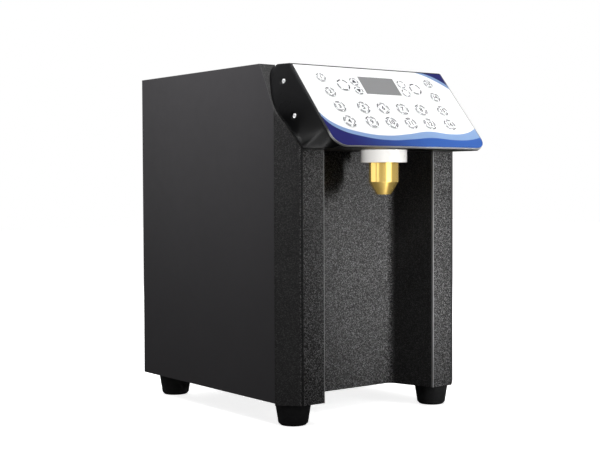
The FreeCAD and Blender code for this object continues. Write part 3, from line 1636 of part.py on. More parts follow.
def nozzle_tip():
    """The brass nozzle: a plain barrel, a cone down to its mouth, and the valve's chamber."""
    cap = collar_bottom
    outline = [
        (size.nozzle_exit_radius, nozzle_mouth),
        (size.nozzle_mouth_radius, nozzle_mouth),
        (size.nozzle_radius, nozzle_shoulder),
        (size.nozzle_radius, cap),
        (size.nozzle_neck_radius, cap),
        (size.nozzle_neck_radius, cap - size.nozzle_neck_height / 2),
        (size.nozzle_chamber_radius, cap - size.nozzle_neck_height / 2),
        (size.nozzle_chamber_radius, nozzle_floor),
        (size.nozzle_exit_radius, nozzle_floor),
    ]
    return finish("nozzle_tip", turned("nozzle_turned", outline, 0, nozzle_y))


poppet_top = collar_bottom - size.nozzle_neck_height / 2 - size.poppet_gap
poppet_under = poppet_top - size.poppet_thickness


def valve_poppet():
    """The valve's disc, which closes the collar's bore, and the stem that its spring rides on."""
    end = poppet_under - size.poppet_stem_length
    outline = [
        (0, poppet_top),
        (size.poppet_radius, poppet_top),
        (size.poppet_radius, poppet_under),
        (size.poppet_stem_radius, poppet_under),
        (size.poppet_stem_radius, end),
        (0, end),
    ]
    return finish("valve_poppet", turned("poppet_turned", outline, 0, nozzle_y))


def valve_spring():
    """A coil spring between the nozzle's floor and the poppet, in half turns tilted each way."""
    wire = size.spring_wire.value
    foot = nozzle_floor + size.spring_gap + size.spring_wire
    height = value_of(poppet_under - size.spring_gap - size.spring_wire - foot)
    radius = size.spring_radius.value
    climb = height / (2 * SPRING_TURNS)
    bulge = math.hypot(radius, climb / 2)
    edges = []
    for half_turn in range(2 * SPRING_TURNS):
        side = 1 if half_turn % 2 == 0 else -1
        low = FreeCAD.Vector(side * radius, 0, climb * half_turn)
        middle = FreeCAD.Vector(0, side * bulge, climb * (half_turn + 0.5))
        high = FreeCAD.Vector(-side * radius, 0, climb * (half_turn + 1))
        edges.append(Part.Arc(low, middle, high).toShape())
    path = Part.Wire(edges)
    ring = Part.Wire([Part.Circle(FreeCAD.Vector(radius, 0, 0), Y_AXIS, wire).toShape()])
    coil = path.makePipeShell([ring], True, False)
    section = math.pi * wire ** 2
    print(f"spring: turns {2 * climb:.2f} mm apart, least gap to itself {2 * climb - 2 * wire:.2f} mm, "
          f"volume over section times length {coil.Volume / (section * path.Length):.4f}")
    return finish("valve_spring", place(shaped("spring_coil", coil), 0, nozzle_y, foot))


def wiring_loom():
    """The bundle from the supply, up the left side and forward to the board."""
    supply_top = floor + size.sheet + size.supply_height
    behind = board_front - size.board_thickness - size.key_clearance
    climb = (loom_z + size.loom_radius - panel.z - behind * cosine(panel.angle)) / sine(panel.angle)
    board_y, _ = panel.point(climb, behind)
    start_x = supply_x - size.supply_width / 4
    loom_x = size.loom_side_gap - inner_half
    points = [
        vector(start_x, supply_y, supply_top),
        vector(start_x, supply_y, supply_top + 2 * size.loom_bend_radius),
        vector(loom_x, loom_y, supply_top + 2 * size.loom_bend_radius),
        vector(loom_x, loom_y, loom_z),
        vector(size.loom_board_x, loom_y, loom_z),
        vector(size.loom_board_x, board_y, loom_z),
    ]
    tube = tube_shape(points, size.loom_bend_radius.value, size.loom_radius.value)
    return finish("wiring_loom", shaped("loom_tube", tube))


def build():
    finish("front_panel", front_panel())
    side_panel("left_side_panel", -1)
    side_panel("right_side_panel", 1)
    base_pan()
    rear_panel()
    top_deck()
    lid()
    lid_seal()
    hinge_pins()
    syrup_tank()
    tank_outlet()
    temperature_probe()
    suction_hose()
    delivery_hose()
    hose_clamps()
    pump_body()
    pump_cover()
    pump_gears()
    gear_motor()
    pump_bracket()
    power_supply()
    mains_inlet()
    power_switch()
    feet()
    cabinet_screws()
    console_housing()
    console_screws()
    face_plate()
    panel_overlay()
    display_module()
    control_board()
    keys()
    nozzle_collar()
    nozzle_tip()
    valve_poppet()
    valve_spring()
    wiring_loom()


def check():
    """Stops with a plain list if any object failed or any sub-part has no sound shape."""
    faults = []
    for item in document.Objects:
        if "Invalid" in item.State or "Error" in item.State:
            faults.append(f"{item.Name}: {item.getStatusString()}")
    for label, item in finished.items():
        if item.Shape.isNull() or not item.Shape.isValid() or not item.Shape.Solids:
            faults.append(f"{label}: no valid solid")
    if faults:
        raise RuntimeError("; ".join(faults))


def write():
    os.makedirs("parts", exist_ok=True)
    for label, item in finished.items():
        item.Shape.exportStep(f"parts/{label}.step")
        bounds = item.Shape.BoundBox
        print(f"{label}: {len(item.Shape.Solids)} solid(s), volume {item.Shape.Volume:.0f}, "
              f"x {bounds.XMin:.1f} to {bounds.XMax:.1f}, y {bounds.YMin:.1f} to {bounds.YMax:.1f}, "
              f"z {bounds.ZMin:.1f} to {bounds.ZMax:.1f}")


build()
document.recompute()
check()
write()
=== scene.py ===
import json
import math

import bmesh
import bpy
from mathutils import Matrix, Vector

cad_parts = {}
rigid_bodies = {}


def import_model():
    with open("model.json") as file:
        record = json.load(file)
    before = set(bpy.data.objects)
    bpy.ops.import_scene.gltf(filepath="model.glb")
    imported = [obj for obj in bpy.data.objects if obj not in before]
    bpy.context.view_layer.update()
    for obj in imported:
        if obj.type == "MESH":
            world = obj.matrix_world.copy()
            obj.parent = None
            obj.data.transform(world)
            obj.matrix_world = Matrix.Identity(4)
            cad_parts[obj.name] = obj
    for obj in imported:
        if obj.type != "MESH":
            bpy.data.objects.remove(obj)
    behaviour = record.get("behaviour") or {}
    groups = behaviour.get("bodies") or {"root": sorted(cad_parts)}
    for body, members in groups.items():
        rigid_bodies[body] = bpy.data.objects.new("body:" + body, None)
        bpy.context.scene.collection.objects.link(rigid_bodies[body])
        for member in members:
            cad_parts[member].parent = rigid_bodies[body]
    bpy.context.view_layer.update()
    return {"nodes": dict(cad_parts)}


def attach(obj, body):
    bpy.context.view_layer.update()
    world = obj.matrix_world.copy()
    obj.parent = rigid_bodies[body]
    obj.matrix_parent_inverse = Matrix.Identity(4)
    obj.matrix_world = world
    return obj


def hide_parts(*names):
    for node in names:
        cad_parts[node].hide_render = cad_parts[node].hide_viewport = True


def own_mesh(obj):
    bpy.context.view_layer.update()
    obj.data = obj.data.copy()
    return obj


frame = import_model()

nodes = frame["nodes"]
scene = bpy.context.scene

# One millimetre, in metres
MM = 0.001

# How far two heights may differ and still count as one
FLAT = 1e-6

# The photo's camera: its place, its yaw, pitch and roll in degrees, and its lens and sensor in millimetres
CAMERA_PLACE = (-0.99761, -1.28648, 0.29766)
CAMERA_TURNS = (37.087, -1.975, -0.221)
CAMERA_LENS = 71.706
SENSOR_WIDTH = 36.0

# The world's strength as a light and in reflections
WORLD_LIGHT = 0.038
WORLD_GLEAM = 0.45

# The range that nearly all values of a noise lie in
NOISE_LOW = 0.3
NOISE_HIGH = 0.7

# The printed panel: its top middle point, its slope, half its width and its length, in metres and radians
PANEL_TOP = Vector((0.0, -0.1157, 0.445))
PANEL_SLOPE = math.radians(49.43)
PANEL_HALF = 0.12435
PANEL_LENGTH = 0.135
PANEL_TURN = Matrix.Translation(PANEL_TOP) @ Matrix.Rotation(PANEL_SLOPE, 4, "X")

# The front sheet's folds: how far out the bay's back corners and the pillars' two edges lie, and
# the plane of the pillars' faces
BAY_CORNER = 0.0720
PILLAR_INNER = 0.0913
PILLAR_OUTER = 0.1248
FRONT_Y = -0.137

# The nozzle's axis
NOZZLE_Y = -0.143


def make_camera():
    """The photo's own view, solved from the cabinet's edges."""
    data = bpy.data.cameras.new("camera")
    camera = bpy.data.objects.new("camera", data)
    scene.collection.objects.link(camera)
    yaw, pitch, roll = (math.radians(turn) for turn in CAMERA_TURNS)
    ahead = Vector((math.sin(yaw) * math.cos(pitch), math.cos(yaw) * math.cos(pitch), math.sin(pitch)))
    level = Vector((math.cos(yaw), -math.sin(yaw), 0.0))
    upright = level.cross(ahead)
    across = level * math.cos(roll) + upright * math.sin(roll)
    up = upright * math.cos(roll) - level * math.sin(roll)
    turn = Matrix((across, up, -ahead)).transposed()
    camera.matrix_world = Matrix.Translation(CAMERA_PLACE) @ turn.to_4x4()
    data.sensor_width = SENSOR_WIDTH
    data.sensor_fit = "HORIZONTAL"
    data.lens = CAMERA_LENS
    data.clip_start = 0.05
    data.clip_end = 60.0
    scene.camera = camera


def aim(light, target):
    """Turns a light to shine at a point."""
    direction = Vector(target) - light.location
    light.rotation_mode = "QUATERNION"
    light.rotation_quaternion = direction.to_track_quat("-Z", "Y")


def area_light(name, place, target, size, power, height=None, spread=180.0, mirrored=True):
    """A rectangular lamp that the camera doesn't see, aimed at a point, with its spread in degrees."""
    data = bpy.data.lights.new(name, "AREA")
    data.shape = "RECTANGLE"
    data.size = size
    data.size_y = height or size
    data.energy = power
    data.spread = math.radians(spread)
    light = bpy.data.objects.new(name, data)
    light.visible_camera = False
    light.visible_glossy = mirrored
    light.location = place
    scene.collection.objects.link(light)
    aim(light, target)
    return light


def light_only(light, pieces):
    """Lets a light fall on some pieces alone, and be shaded by them alone."""
    lit = bpy.data.collections.new(light.name + "_lights")
    for piece in pieces:
        lit.objects.link(piece)
    light.light_linking.receiver_collection = lit
    light.light_linking.blocker_collection = lit


def light_all_but(light, piece):
    """Lets a light fall on everything except one piece."""
    left_out = bpy.data.collections.new(light.name + "_leaves_out")
    left_out.objects.link(piece)
    left_out.collection_objects[0].light_linking.link_state = "EXCLUDE"
    light.light_linking.receiver_collection = left_out


def card(name, place, target, size, height, power, pieces):
    """A reflector card: a light that is only seen mirrored, and only in some pieces."""
    light = area_light(name, place, target, size, power, height)
    light.visible_diffuse = False
    light_only(light, pieces)


def by_ray(tree, ray, otherwise, then):
    """One shader for rays of a kind, and another for all the rest."""
    path = tree.nodes.new("ShaderNodeLightPath")
    mix = tree.nodes.new("ShaderNodeMixShader")
    tree.links.new(path.outputs[ray], mix.inputs["Fac"])
    tree.links.new(otherwise, mix.inputs[1])
    tree.links.new(then, mix.inputs[2])
    return mix.outputs["Shader"]


def make_world():
    """A white studio: white to the camera, dim as a light, and brighter in reflections."""
    world = bpy.data.worlds.new("studio")
    scene.world = world
    world.use_nodes = True
    tree = world.node_tree
    tree.nodes.clear()

    def background(strength):
        made = tree.nodes.new("ShaderNodeBackground")
        made.inputs["Color"].default_value = (1.0, 1.0, 1.0, 1.0)
        made.inputs["Strength"].default_value = strength
        return made.outputs["Background"]

    studio = by_ray(tree, "Is Glossy Ray", background(WORLD_LIGHT), background(WORLD_GLEAM))
    seen = by_ray(tree, "Is Camera Ray", studio, background(1.0))
    output = tree.nodes.new("ShaderNodeOutputWorld")
    tree.links.new(seen, output.inputs["Surface"])


class Shader:
    """A material under construction, with short ways to add and join its nodes."""

    def __init__(self, name):
        self.material = bpy.data.materials.new(name)
        self.material.use_nodes = True
        self.tree = self.material.node_tree
        self.surface = self.tree.nodes["Principled BSDF"]

    def node(self, kind, **settings):
        made = self.tree.nodes.new(kind)
        for key, value in settings.items():
            setattr(made, key, value)
        return made

    def join(self, source, target):
        self.tree.links.new(source, target)

    def set(self, **values):
        for key, value in values.items():
            self.surface.inputs[key.replace("_", " ")].default_value = value

    def place(self):
        return self.node("ShaderNodeTexCoord").outputs["Object"]

    def noise(self, scale, detail=4.0, roughness=0.5, vector=None):
        made = self.node("ShaderNodeTexNoise")
        made.inputs["Scale"].default_value = scale
        made.inputs["Detail"].default_value = detail
        made.inputs["Roughness"].default_value = roughness
        self.join(vector or self.place(), made.inputs["Vector"])
        return made.outputs["Fac"]

    def cells(self, scale, output="Distance"):
        """What a pattern of small cells says of each point."""
        made = self.node("ShaderNodeTexVoronoi")
        made.inputs["Scale"].default_value = scale
        self.join(self.place(), made.inputs["Vector"])
        return made.outputs[output]

    def flecks(self, scale):
        """A random share for each small cell of the surface."""
        parts = self.node("ShaderNodeSeparateColor")
        self.join(self.cells(scale, "Color"), parts.inputs["Color"])
        return parts.outputs["Red"]

    def drift(self, scale, detail, low=0.0, high=1.0):
        """A value that drifts from low to high and back over the surface."""
        return self.spread(self.noise(scale, detail), NOISE_LOW, NOISE_HIGH, low, high)

    def spread(self, value, low, high, new_low=0.0, new_high=1.0):
        made = self.node("ShaderNodeMapRange")
        made.inputs["From Min"].default_value = low
        made.inputs["From Max"].default_value = high
        made.inputs["To Min"].default_value = new_low
        made.inputs["To Max"].default_value = new_high
        self.join(value, made.inputs["Value"])
        return made.outputs["Result"]

    def math(self, operation, first, second=None, third=None):
        made = self.node("ShaderNodeMath", operation=operation)
        for socket, value in zip(made.inputs, (first, second, third)):
            if value is None:
                continue
            if isinstance(value, (int, float)):
                socket.default_value = value
            else:
                self.join(value, socket)
        return made.outputs["Value"]

    def blend(self, share, first, second):
        """Mixes two colours, each a colour or a socket, by a share from 0 to 1."""
        made = self.node("ShaderNodeMix", data_type="RGBA")
        self.join(share, made.inputs["Factor"])
        colours = [s for s in made.inputs if s.type == "RGBA"]
        for socket, value in zip(colours, (first, second)):
            if isinstance(value, tuple):
                socket.default_value = value + (1.0,)
            else:
                self.join(value, socket)
        return next(s for s in made.outputs if s.type == "RGBA")

    def colour(self, value):
        self.join(value, self.surface.inputs["Base Color"])

    def roughness(self, value):
        self.join(value, self.surface.inputs["Roughness"])

    def bump(self, height, strength, distance, previous=None):
        made = self.node("ShaderNodeBump")
        made.inputs["Strength"].default_value = strength
        made.inputs["Distance"].default_value = distance
        self.join(height, made.inputs["Height"])
        if previous is not None:
            self.join(previous, made.inputs["Normal"])
        self.join(made.outputs["Normal"], self.surface.inputs["Normal"])
        return made.outputs["Normal"]

    def edges(self, radius):
        """How far the rounded normal leaves the true one: high along the edges of a solid."""
        flat, sharp = 0.995, 0.8
        rounded = self.node("ShaderNodeBevel", samples=8)
        rounded.inputs["Radius"].default_value = radius
        true = self.node("ShaderNodeNewGeometry")
        product = self.node("ShaderNodeVectorMath", operation="DOT_PRODUCT")
        self.join(rounded.outputs["Normal"], product.inputs[0])
        self.join(true.outputs["Normal"], product.inputs[1])
        return self.spread(product.outputs["Value"], flat, sharp)

    def soften(self, radius):
        """Rounds the shading of sharp edges by a small radius."""
        rounded = self.node("ShaderNodeBevel", samples=6)
        rounded.inputs["Radius"].default_value = radius
        return rounded.outputs["Normal"]


def satin_paint():
    """Satin black powder coat with a fine orange peel, lighter along its folds, partly as wear and partly
    as a painted edge highlight.
    """
    s = Shader("satin_paint")
    cloud = s.noise(14.0, 3.0)
    # Lighter, broken line along the edges: partly wear, partly a painted highlight on the folds
    wear_and_edge_highlight = s.math("MULTIPLY", s.edges(0.0009), s.spread(s.noise(160.0, 5.0), 0.42, 0.62))
    base = s.blend(cloud, (0.048, 0.0460, 0.0495), (0.055, 0.0530, 0.0565))
    s.colour(s.blend(s.math("MULTIPLY", wear_and_edge_highlight, 0.35), base, (0.16, 0.16, 0.165)))
    s.roughness(s.drift(60.0, 4.0, 0.36, 0.44))
    s.set(Specular_IOR_Level=0.26)
    fine = s.bump(s.noise(1500.0, 2.0), 0.16, 0.0002, s.soften(0.0006))
    s.bump(s.noise(380.0, 2.0), 0.06, 0.0006, fine)
    return s.material


def textured_paint():
    """Coarse charcoal powder coat with pale flecks, partly grain and partly a painted sparkle: calmer
    outside the pillars, calmer and darker on the bay's side walls as painted shade, with a painted shadow
    line on the outer folds and a painted highlight on the inner ones.
    """
    s = Shader("textured_paint")
    grain_scale, fleck_scale, blur = 1100.0, 1050.0, 0.001
    grain = s.noise(grain_scale, 3.0, 0.6)
    # Pale flecks in the colour: the coat's grain, partly a painted sparkle standing in for glints on the
    # grains
    speck_and_sparkle = s.math("MULTIPLY", s.spread(s.flecks(fleck_scale), 0.45, 0.90), s.spread(grain, 0.36, 0.58))
    mapping = s.node("ShaderNodeMapping")
    mapping.inputs["Location"].default_value = tuple(nodes["front_panel"].matrix_world.translation)
    s.join(s.place(), mapping.inputs["Vector"])
    parts = s.node("ShaderNodeSeparateXYZ")
    s.join(mapping.outputs["Vector"], parts.inputs["Vector"])
    out, back = s.math("ABSOLUTE", parts.outputs["X"]), parts.outputs["Y"]

    def fold_line(place, reach, core):
        """A line along a fold, full within its core and gone at its reach."""
        return s.spread(s.math("ABSOLUTE", s.math("SUBTRACT", out, place)), reach, core)

    outside = s.spread(out, PILLAR_OUTER, PILLAR_OUTER + blur)
    speck_and_sparkle = s.blend(outside, speck_and_sparkle, s.math("MULTIPLY_ADD", speck_and_sparkle, 0.75, 0.05))
    # Calmer, darker grain on the bay's side walls: painted shade in the recess
    behind = s.spread(back, FRONT_Y + 2 * blur, FRONT_Y + 3 * blur)
    bay_wall_shade = s.math("MULTIPLY", s.spread(out, BAY_CORNER, BAY_CORNER + blur), behind)
    speck_and_sparkle = s.blend(bay_wall_shade, speck_and_sparkle, s.math("MULTIPLY_ADD", speck_and_sparkle, 0.30, 0.06))
    cloud = s.drift(9.0, 3.0)
    dark = s.blend(cloud, (0.005, 0.0048, 0.005), (0.008, 0.0077, 0.008))
    pale = s.blend(cloud, (0.25, 0.247, 0.249), (0.30, 0.297, 0.299))
    coat = s.blend(speck_and_sparkle, dark, pale)
    # Dark line along the pillars' outer fold: painted shade in the crease
    outer_fold_shade = s.math("MULTIPLY", fold_line(PILLAR_OUTER, 0.0016, 0.0010), 0.85)
    coat = s.blend(outer_fold_shade, coat, (0.003, 0.003, 0.003))
    # Pale line along the pillars' inner fold, on their front: a painted highlight
    at_front = s.spread(back, FRONT_Y + 3 * blur, FRONT_Y + 2 * blur)
    inner_fold_highlight = s.math("MULTIPLY", fold_line(PILLAR_INNER, 0.0011, 0.0008), at_front)
    s.colour(s.blend(inner_fold_highlight, coat, (0.38, 0.38, 0.38)))
    s.set(Specular_IOR_Level=0.26)
    s.roughness(s.spread(grain, NOISE_LOW, NOISE_HIGH, 0.38, 0.62))
    coarse = s.bump(grain, 0.5, 0.0005, s.soften(0.0011))
    s.bump(s.cells(fleck_scale), 0.2, 0.0003, coarse)
    return s.material


def gloss_black():
    """Glossy moulded plastic with the faint waviness and dust of a handled surface."""
    s = Shader("gloss_black")
    cloud = s.noise(18.0, 3.0)
    s.colour(s.blend(cloud, (0.004, 0.004, 0.0045), (0.007, 0.007, 0.0075)))
    s.roughness(s.drift(45.0, 5.0, 0.26, 0.36))
    s.set(Specular_IOR_Level=0.14)
    s.bump(s.noise(900.0, 2.0), 0.05, 0.0002, s.soften(0.005))
    return s.material


def moulded(name, low, high, rough):
    """A plain moulded plastic with slight cloudiness and a fine spark-eroded grain."""
    s = Shader(name)
    s.colour(s.blend(s.drift(22.0, 4.0), low, high))
    s.roughness(s.drift(120.0, 4.0, rough - 0.05, rough + 0.06))
    s.bump(s.noise(900.0, 2.0), 0.08, 0.0002, s.soften(0.0004))
    return s.material


def rubber(name, low, high):
    """Moulded rubber: matte, a little dusty, with a fine pebbled skin."""
    s = Shader(name)
    dust = s.spread(s.noise(35.0, 6.0, 0.6), 0.45, 0.7)
    s.colour(s.blend(dust, low, high))
    s.set(Specular_IOR_Level=0.3)
    s.roughness(s.drift(300.0, 3.0, 0.58, 0.75))
    s.bump(s.noise(1400.0, 3.0), 0.25, 0.0003, s.soften(0.0006))
    return s.material


def metal(name, low, high, rough, along=(1.0, 1.0, 30.0), metallic=1.0, strength=0.05):
    """Brushed or turned metal: fine scratches that run one way, and slight staining."""
    s = Shader(name)
    mapping = s.node("ShaderNodeMapping")
    mapping.inputs["Scale"].default_value = along
    s.join(s.place(), mapping.inputs["Vector"])
    brushed = s.noise(260.0, 4.0, 0.6, mapping.outputs["Vector"])
    s.colour(s.blend(s.drift(28.0, 5.0), low, high))
    s.set(Metallic=metallic)
    s.roughness(s.spread(brushed, 0.25, 0.75, rough - strength, rough + 1.5 * strength))
    s.bump(brushed, strength, 0.0002, s.soften(0.0004))
    return s.material


def hose_material():
    """Translucent silicone, a little cloudy."""
    s = Shader("silicone_hose")
    s.colour(s.blend(s.drift(60.0, 4.0), (0.62, 0.64, 0.64), (0.74, 0.75, 0.75)))
    s.roughness(s.drift(400.0, 3.0, 0.32, 0.45))
    s.set(Transmission_Weight=0.35, Subsurface_Weight=0.1)
    s.bump(s.noise(700.0, 2.0), 0.06, 0.0002)
    return s.material


def board_material():
    """A green circuit board with faint copper tracks under its solder mask."""
    s = Shader("circuit_board")
    mapping = s.node("ShaderNodeMapping")
    mapping.inputs["Rotation"].default_value = (-PANEL_SLOPE, 0.0, 0.0)
    s.join(s.place(), mapping.inputs["Vector"])
    tracks = s.node("ShaderNodeTexBrick")
    tracks.inputs["Scale"].default_value = 160.0
    tracks.inputs["Mortar Size"].default_value = 0.06
    s.join(mapping.outputs["Vector"], tracks.inputs["Vector"])
    s.colour(s.blend(tracks.outputs["Fac"], (0.012, 0.09, 0.035), (0.04, 0.20, 0.08)))
    s.roughness(s.drift(90.0, 4.0, 0.28, 0.42))
    s.bump(tracks.outputs["Fac"], 0.15, 0.0002)
    return s.material


def display_material():
    """The plain grey display filter."""
    s = Shader("display_filter")
    s.colour(s.blend(s.noise(14.0, 2.0), (0.232, 0.232, 0.236), (0.244, 0.244, 0.248)))
    s.roughness(s.drift(30.0, 3.0, 0.30, 0.34))
    s.set(Specular_IOR_Level=0.13)
    s.bump(s.noise(1100.0, 2.0), 0.02, 0.0001)
    return s.material


def curve_profile(s, value, points):
    """A smooth curve through points from 0 to 1, of which the two ends come first."""
    made = s.node("ShaderNodeFloatCurve")
    curve = made.mapping.curves[0]
    ends, between = points[:2], points[2:]
    for spot, place in zip(curve.points, ends):
        spot.location = place
    for x, y in between:
        curve.points.new(x, y)
    made.mapping.update()
    s.join(value, made.inputs["Value"])
    return made.outputs["Value"]


def overlay_material():
    """The printed film: a white field over a band of blue waves, with a blue corner above.

    Its boundaries are shares of the panel's length, set against shares of its width.
    """
    s = Shader("printed_film")
    x, y = panel_mapping(s, "panel_overlay", 0.0, 0.0)
    across = s.spread(x, -PANEL_HALF, PANEL_HALF)
    down = s.spread(y, 0.0, -PANEL_LENGTH)
    edge_share, present_share = 0.004, 0.002
    border_start_share, border_full_share = 0.0185, 0.0155
    rim_start, rim_full, rim_strength = 0.0024, 0.0018, 0.85
    pale = curve_profile(s, across, [(0.0, 0.60), (1.0, 0.74), (0.07, 0.755), (0.2, 0.84), (0.35, 0.87),
                                     (0.5, 0.845), (0.65, 0.805), (0.8, 0.83), (0.9, 0.815)])
    royal = curve_profile(s, across, [(0.0, 0.65), (1.0, 0.86), (0.07, 0.81), (0.2, 0.89), (0.35, 0.925),
                                      (0.5, 0.91), (0.65, 0.885), (0.8, 0.905), (0.9, 0.90)])
    corner = curve_profile(s, across, [(0.0, 0.0), (1.0, 0.19), (0.79, 0.0), (0.86, 0.02), (0.93, 0.075)])
    corner_band = curve_profile(s, across, [(0.0, 0.0), (1.0, 0.24), (0.76, 0.0), (0.85, 0.045),
                                            (0.93, 0.13)])

    def below(boundary):
        return s.spread(s.math("SUBTRACT", down, boundary), -edge_share / 2, edge_share / 2)

    def above(boundary):
        gap = s.math("SUBTRACT", boundary, down)
        present = s.spread(boundary, 0.0, present_share)
        return s.math("MULTIPLY", s.spread(gap, -edge_share / 2, edge_share / 2), present)

    navy = (0.013, 0.0135, 0.120)
    white = s.blend(s.noise(12.0, 3.0), (0.88, 0.885, 0.89), (0.91, 0.915, 0.92))
    shade = s.blend(s.noise(16.0, 3.0), (0.205, 0.315, 0.53), (0.235, 0.345, 0.56))
    deep = s.blend(s.spread(s.math("ADD", across, s.math("MULTIPLY", down, -0.25)), -0.12, 0.35),
                   navy, (0.030, 0.095, 0.345))
    field = s.blend(below(pale), white, shade)
    field = s.blend(below(royal), field, deep)
    field = s.blend(above(corner_band), field, shade)
    field = s.blend(above(corner), field, navy)
    rim = s.spread(x, PANEL_HALF - rim_start, PANEL_HALF - rim_full, 0.0, rim_strength)
    field = s.blend(rim, field, (0.20, 0.20, 0.21))
    border = s.spread(down, border_start_share, border_full_share)
    s.colour(s.blend(border, field, (0.012, 0.012, 0.014)))
    s.set(Specular_IOR_Level=0.13)
    s.roughness(s.drift(70.0, 5.0, 0.28, 0.36))
    s.bump(s.noise(1200.0, 2.0), 0.04, 0.0002)
    return s.material


def plate_material():
    """The plate behind the film: dark at its edges, and pale along its lower rim."""
    s = Shader("plate_edge")
    _, y = panel_mapping(s, "face_plate", 0.0, 0.0)
    rim_start, rim_full = -0.108, -0.122
    low = s.spread(y, rim_start, rim_full)
    dark = s.blend(s.noise(60.0, 4.0), (0.03, 0.03, 0.032), (0.05, 0.05, 0.052))
    pale = s.blend(s.noise(60.0, 4.0), (0.50, 0.50, 0.51), (0.58, 0.58, 0.59))
    s.colour(s.blend(low, dark, pale))
    s.roughness(s.drift(200.0, 4.0, 0.34, 0.46))
    s.bump(s.noise(900.0, 2.0), 0.08, 0.0002)
    return s.material


def panel_mapping(s, node, across, up):
    """Coordinates across and up the panel, counted from a point on it, for the surface of one node."""
    mapping = s.node("ShaderNodeMapping", vector_type="TEXTURE")
    origin = nodes[node].matrix_world.inverted() @ PANEL_TURN @ Vector((across, up, 0.0))
    mapping.inputs["Location"].default_value = tuple(origin)
    mapping.inputs["Rotation"].default_value = (PANEL_SLOPE, 0.0, 0.0)
    s.join(s.place(), mapping.inputs["Vector"])
    parts = s.node("ShaderNodeSeparateXYZ")
    s.join(mapping.outputs["Vector"], parts.inputs["Vector"])
    return parts.outputs["X"], parts.outputs["Y"]


def key_material(name, across, up, radius, turn, plain):
    """A white key with two broken rings printed on it, or with one where it is plain.

    The turn, an angle in radians, sets where the rings are broken.
    """
    s = Shader("print_" + name)
    x, y = panel_mapping(s, name, across, up)
    reach = s.math("SQRT", s.math("ADD", s.math("MULTIPLY", x, x), s.math("MULTIPLY", y, y)))
    reach = s.math("DIVIDE", reach, radius)
    angle = s.math("ARCTAN2", y, x)

    def ring(middle, half, dashes, shift):
        """A ring of dashes, with its middle and half width as shares of the key's radius."""
        off = s.math("ABSOLUTE", s.math("SUBTRACT", reach, middle))
        line = s.spread(off, half * 1.15, half * 0.85)
        wave = s.math("COSINE", s.math("ADD", s.math("MULTIPLY", angle, dashes), shift))
        return s.math("MULTIPLY", line, s.spread(wave, -0.74, -0.62))

    outer = ring(0.87, 0.09 if plain else 0.07, 5.0, turn)
    inner = ring(0.68, 0.045, 4.0, turn * 1.7)
    ink = outer if plain else s.math("MAXIMUM", outer, inner)
    white = s.blend(s.noise(60.0, 3.0), (0.88, 0.885, 0.89), (0.91, 0.915, 0.92))
    s.colour(s.blend(ink, white, (0.018, 0.018, 0.03)))
    s.set(Specular_IOR_Level=0.13)
    s.roughness(s.drift(160.0, 4.0, 0.28, 0.36))
    s.bump(s.noise(1300.0, 2.0), 0.04, 0.0002)
    return s.material


def paint(material, names):
    """Gives CAD nodes a new material in each of their slots."""
    for name in names:
        data = nodes[name].data
        if not data.materials:
            data.materials.append(material)
        for index in range(len(data.materials)):
            data.materials[index] = material


def key_names():
    """The names of all the keys, in one fixed order."""
    return sorted(name for name in nodes if name.startswith("key_"))


def key_place(name):
    """Where a key's middle lies on the panel, and the radius of its cap, in metres."""
    node = nodes[name]
    turn_back = PANEL_TURN.inverted() @ node.matrix_world
    corners = [turn_back @ vertex.co for vertex in node.data.vertices]
    across = [corner.x for corner in corners]
    up = [corner.y for corner in corners]
    crown = [corner for corner in corners if corner.z > 0]
    middle = Vector(((min(across) + max(across)) / 2, (min(up) + max(up)) / 2))
    radius = max((corner.xy - middle).length for corner in crown)
    return middle.x, middle.y, radius


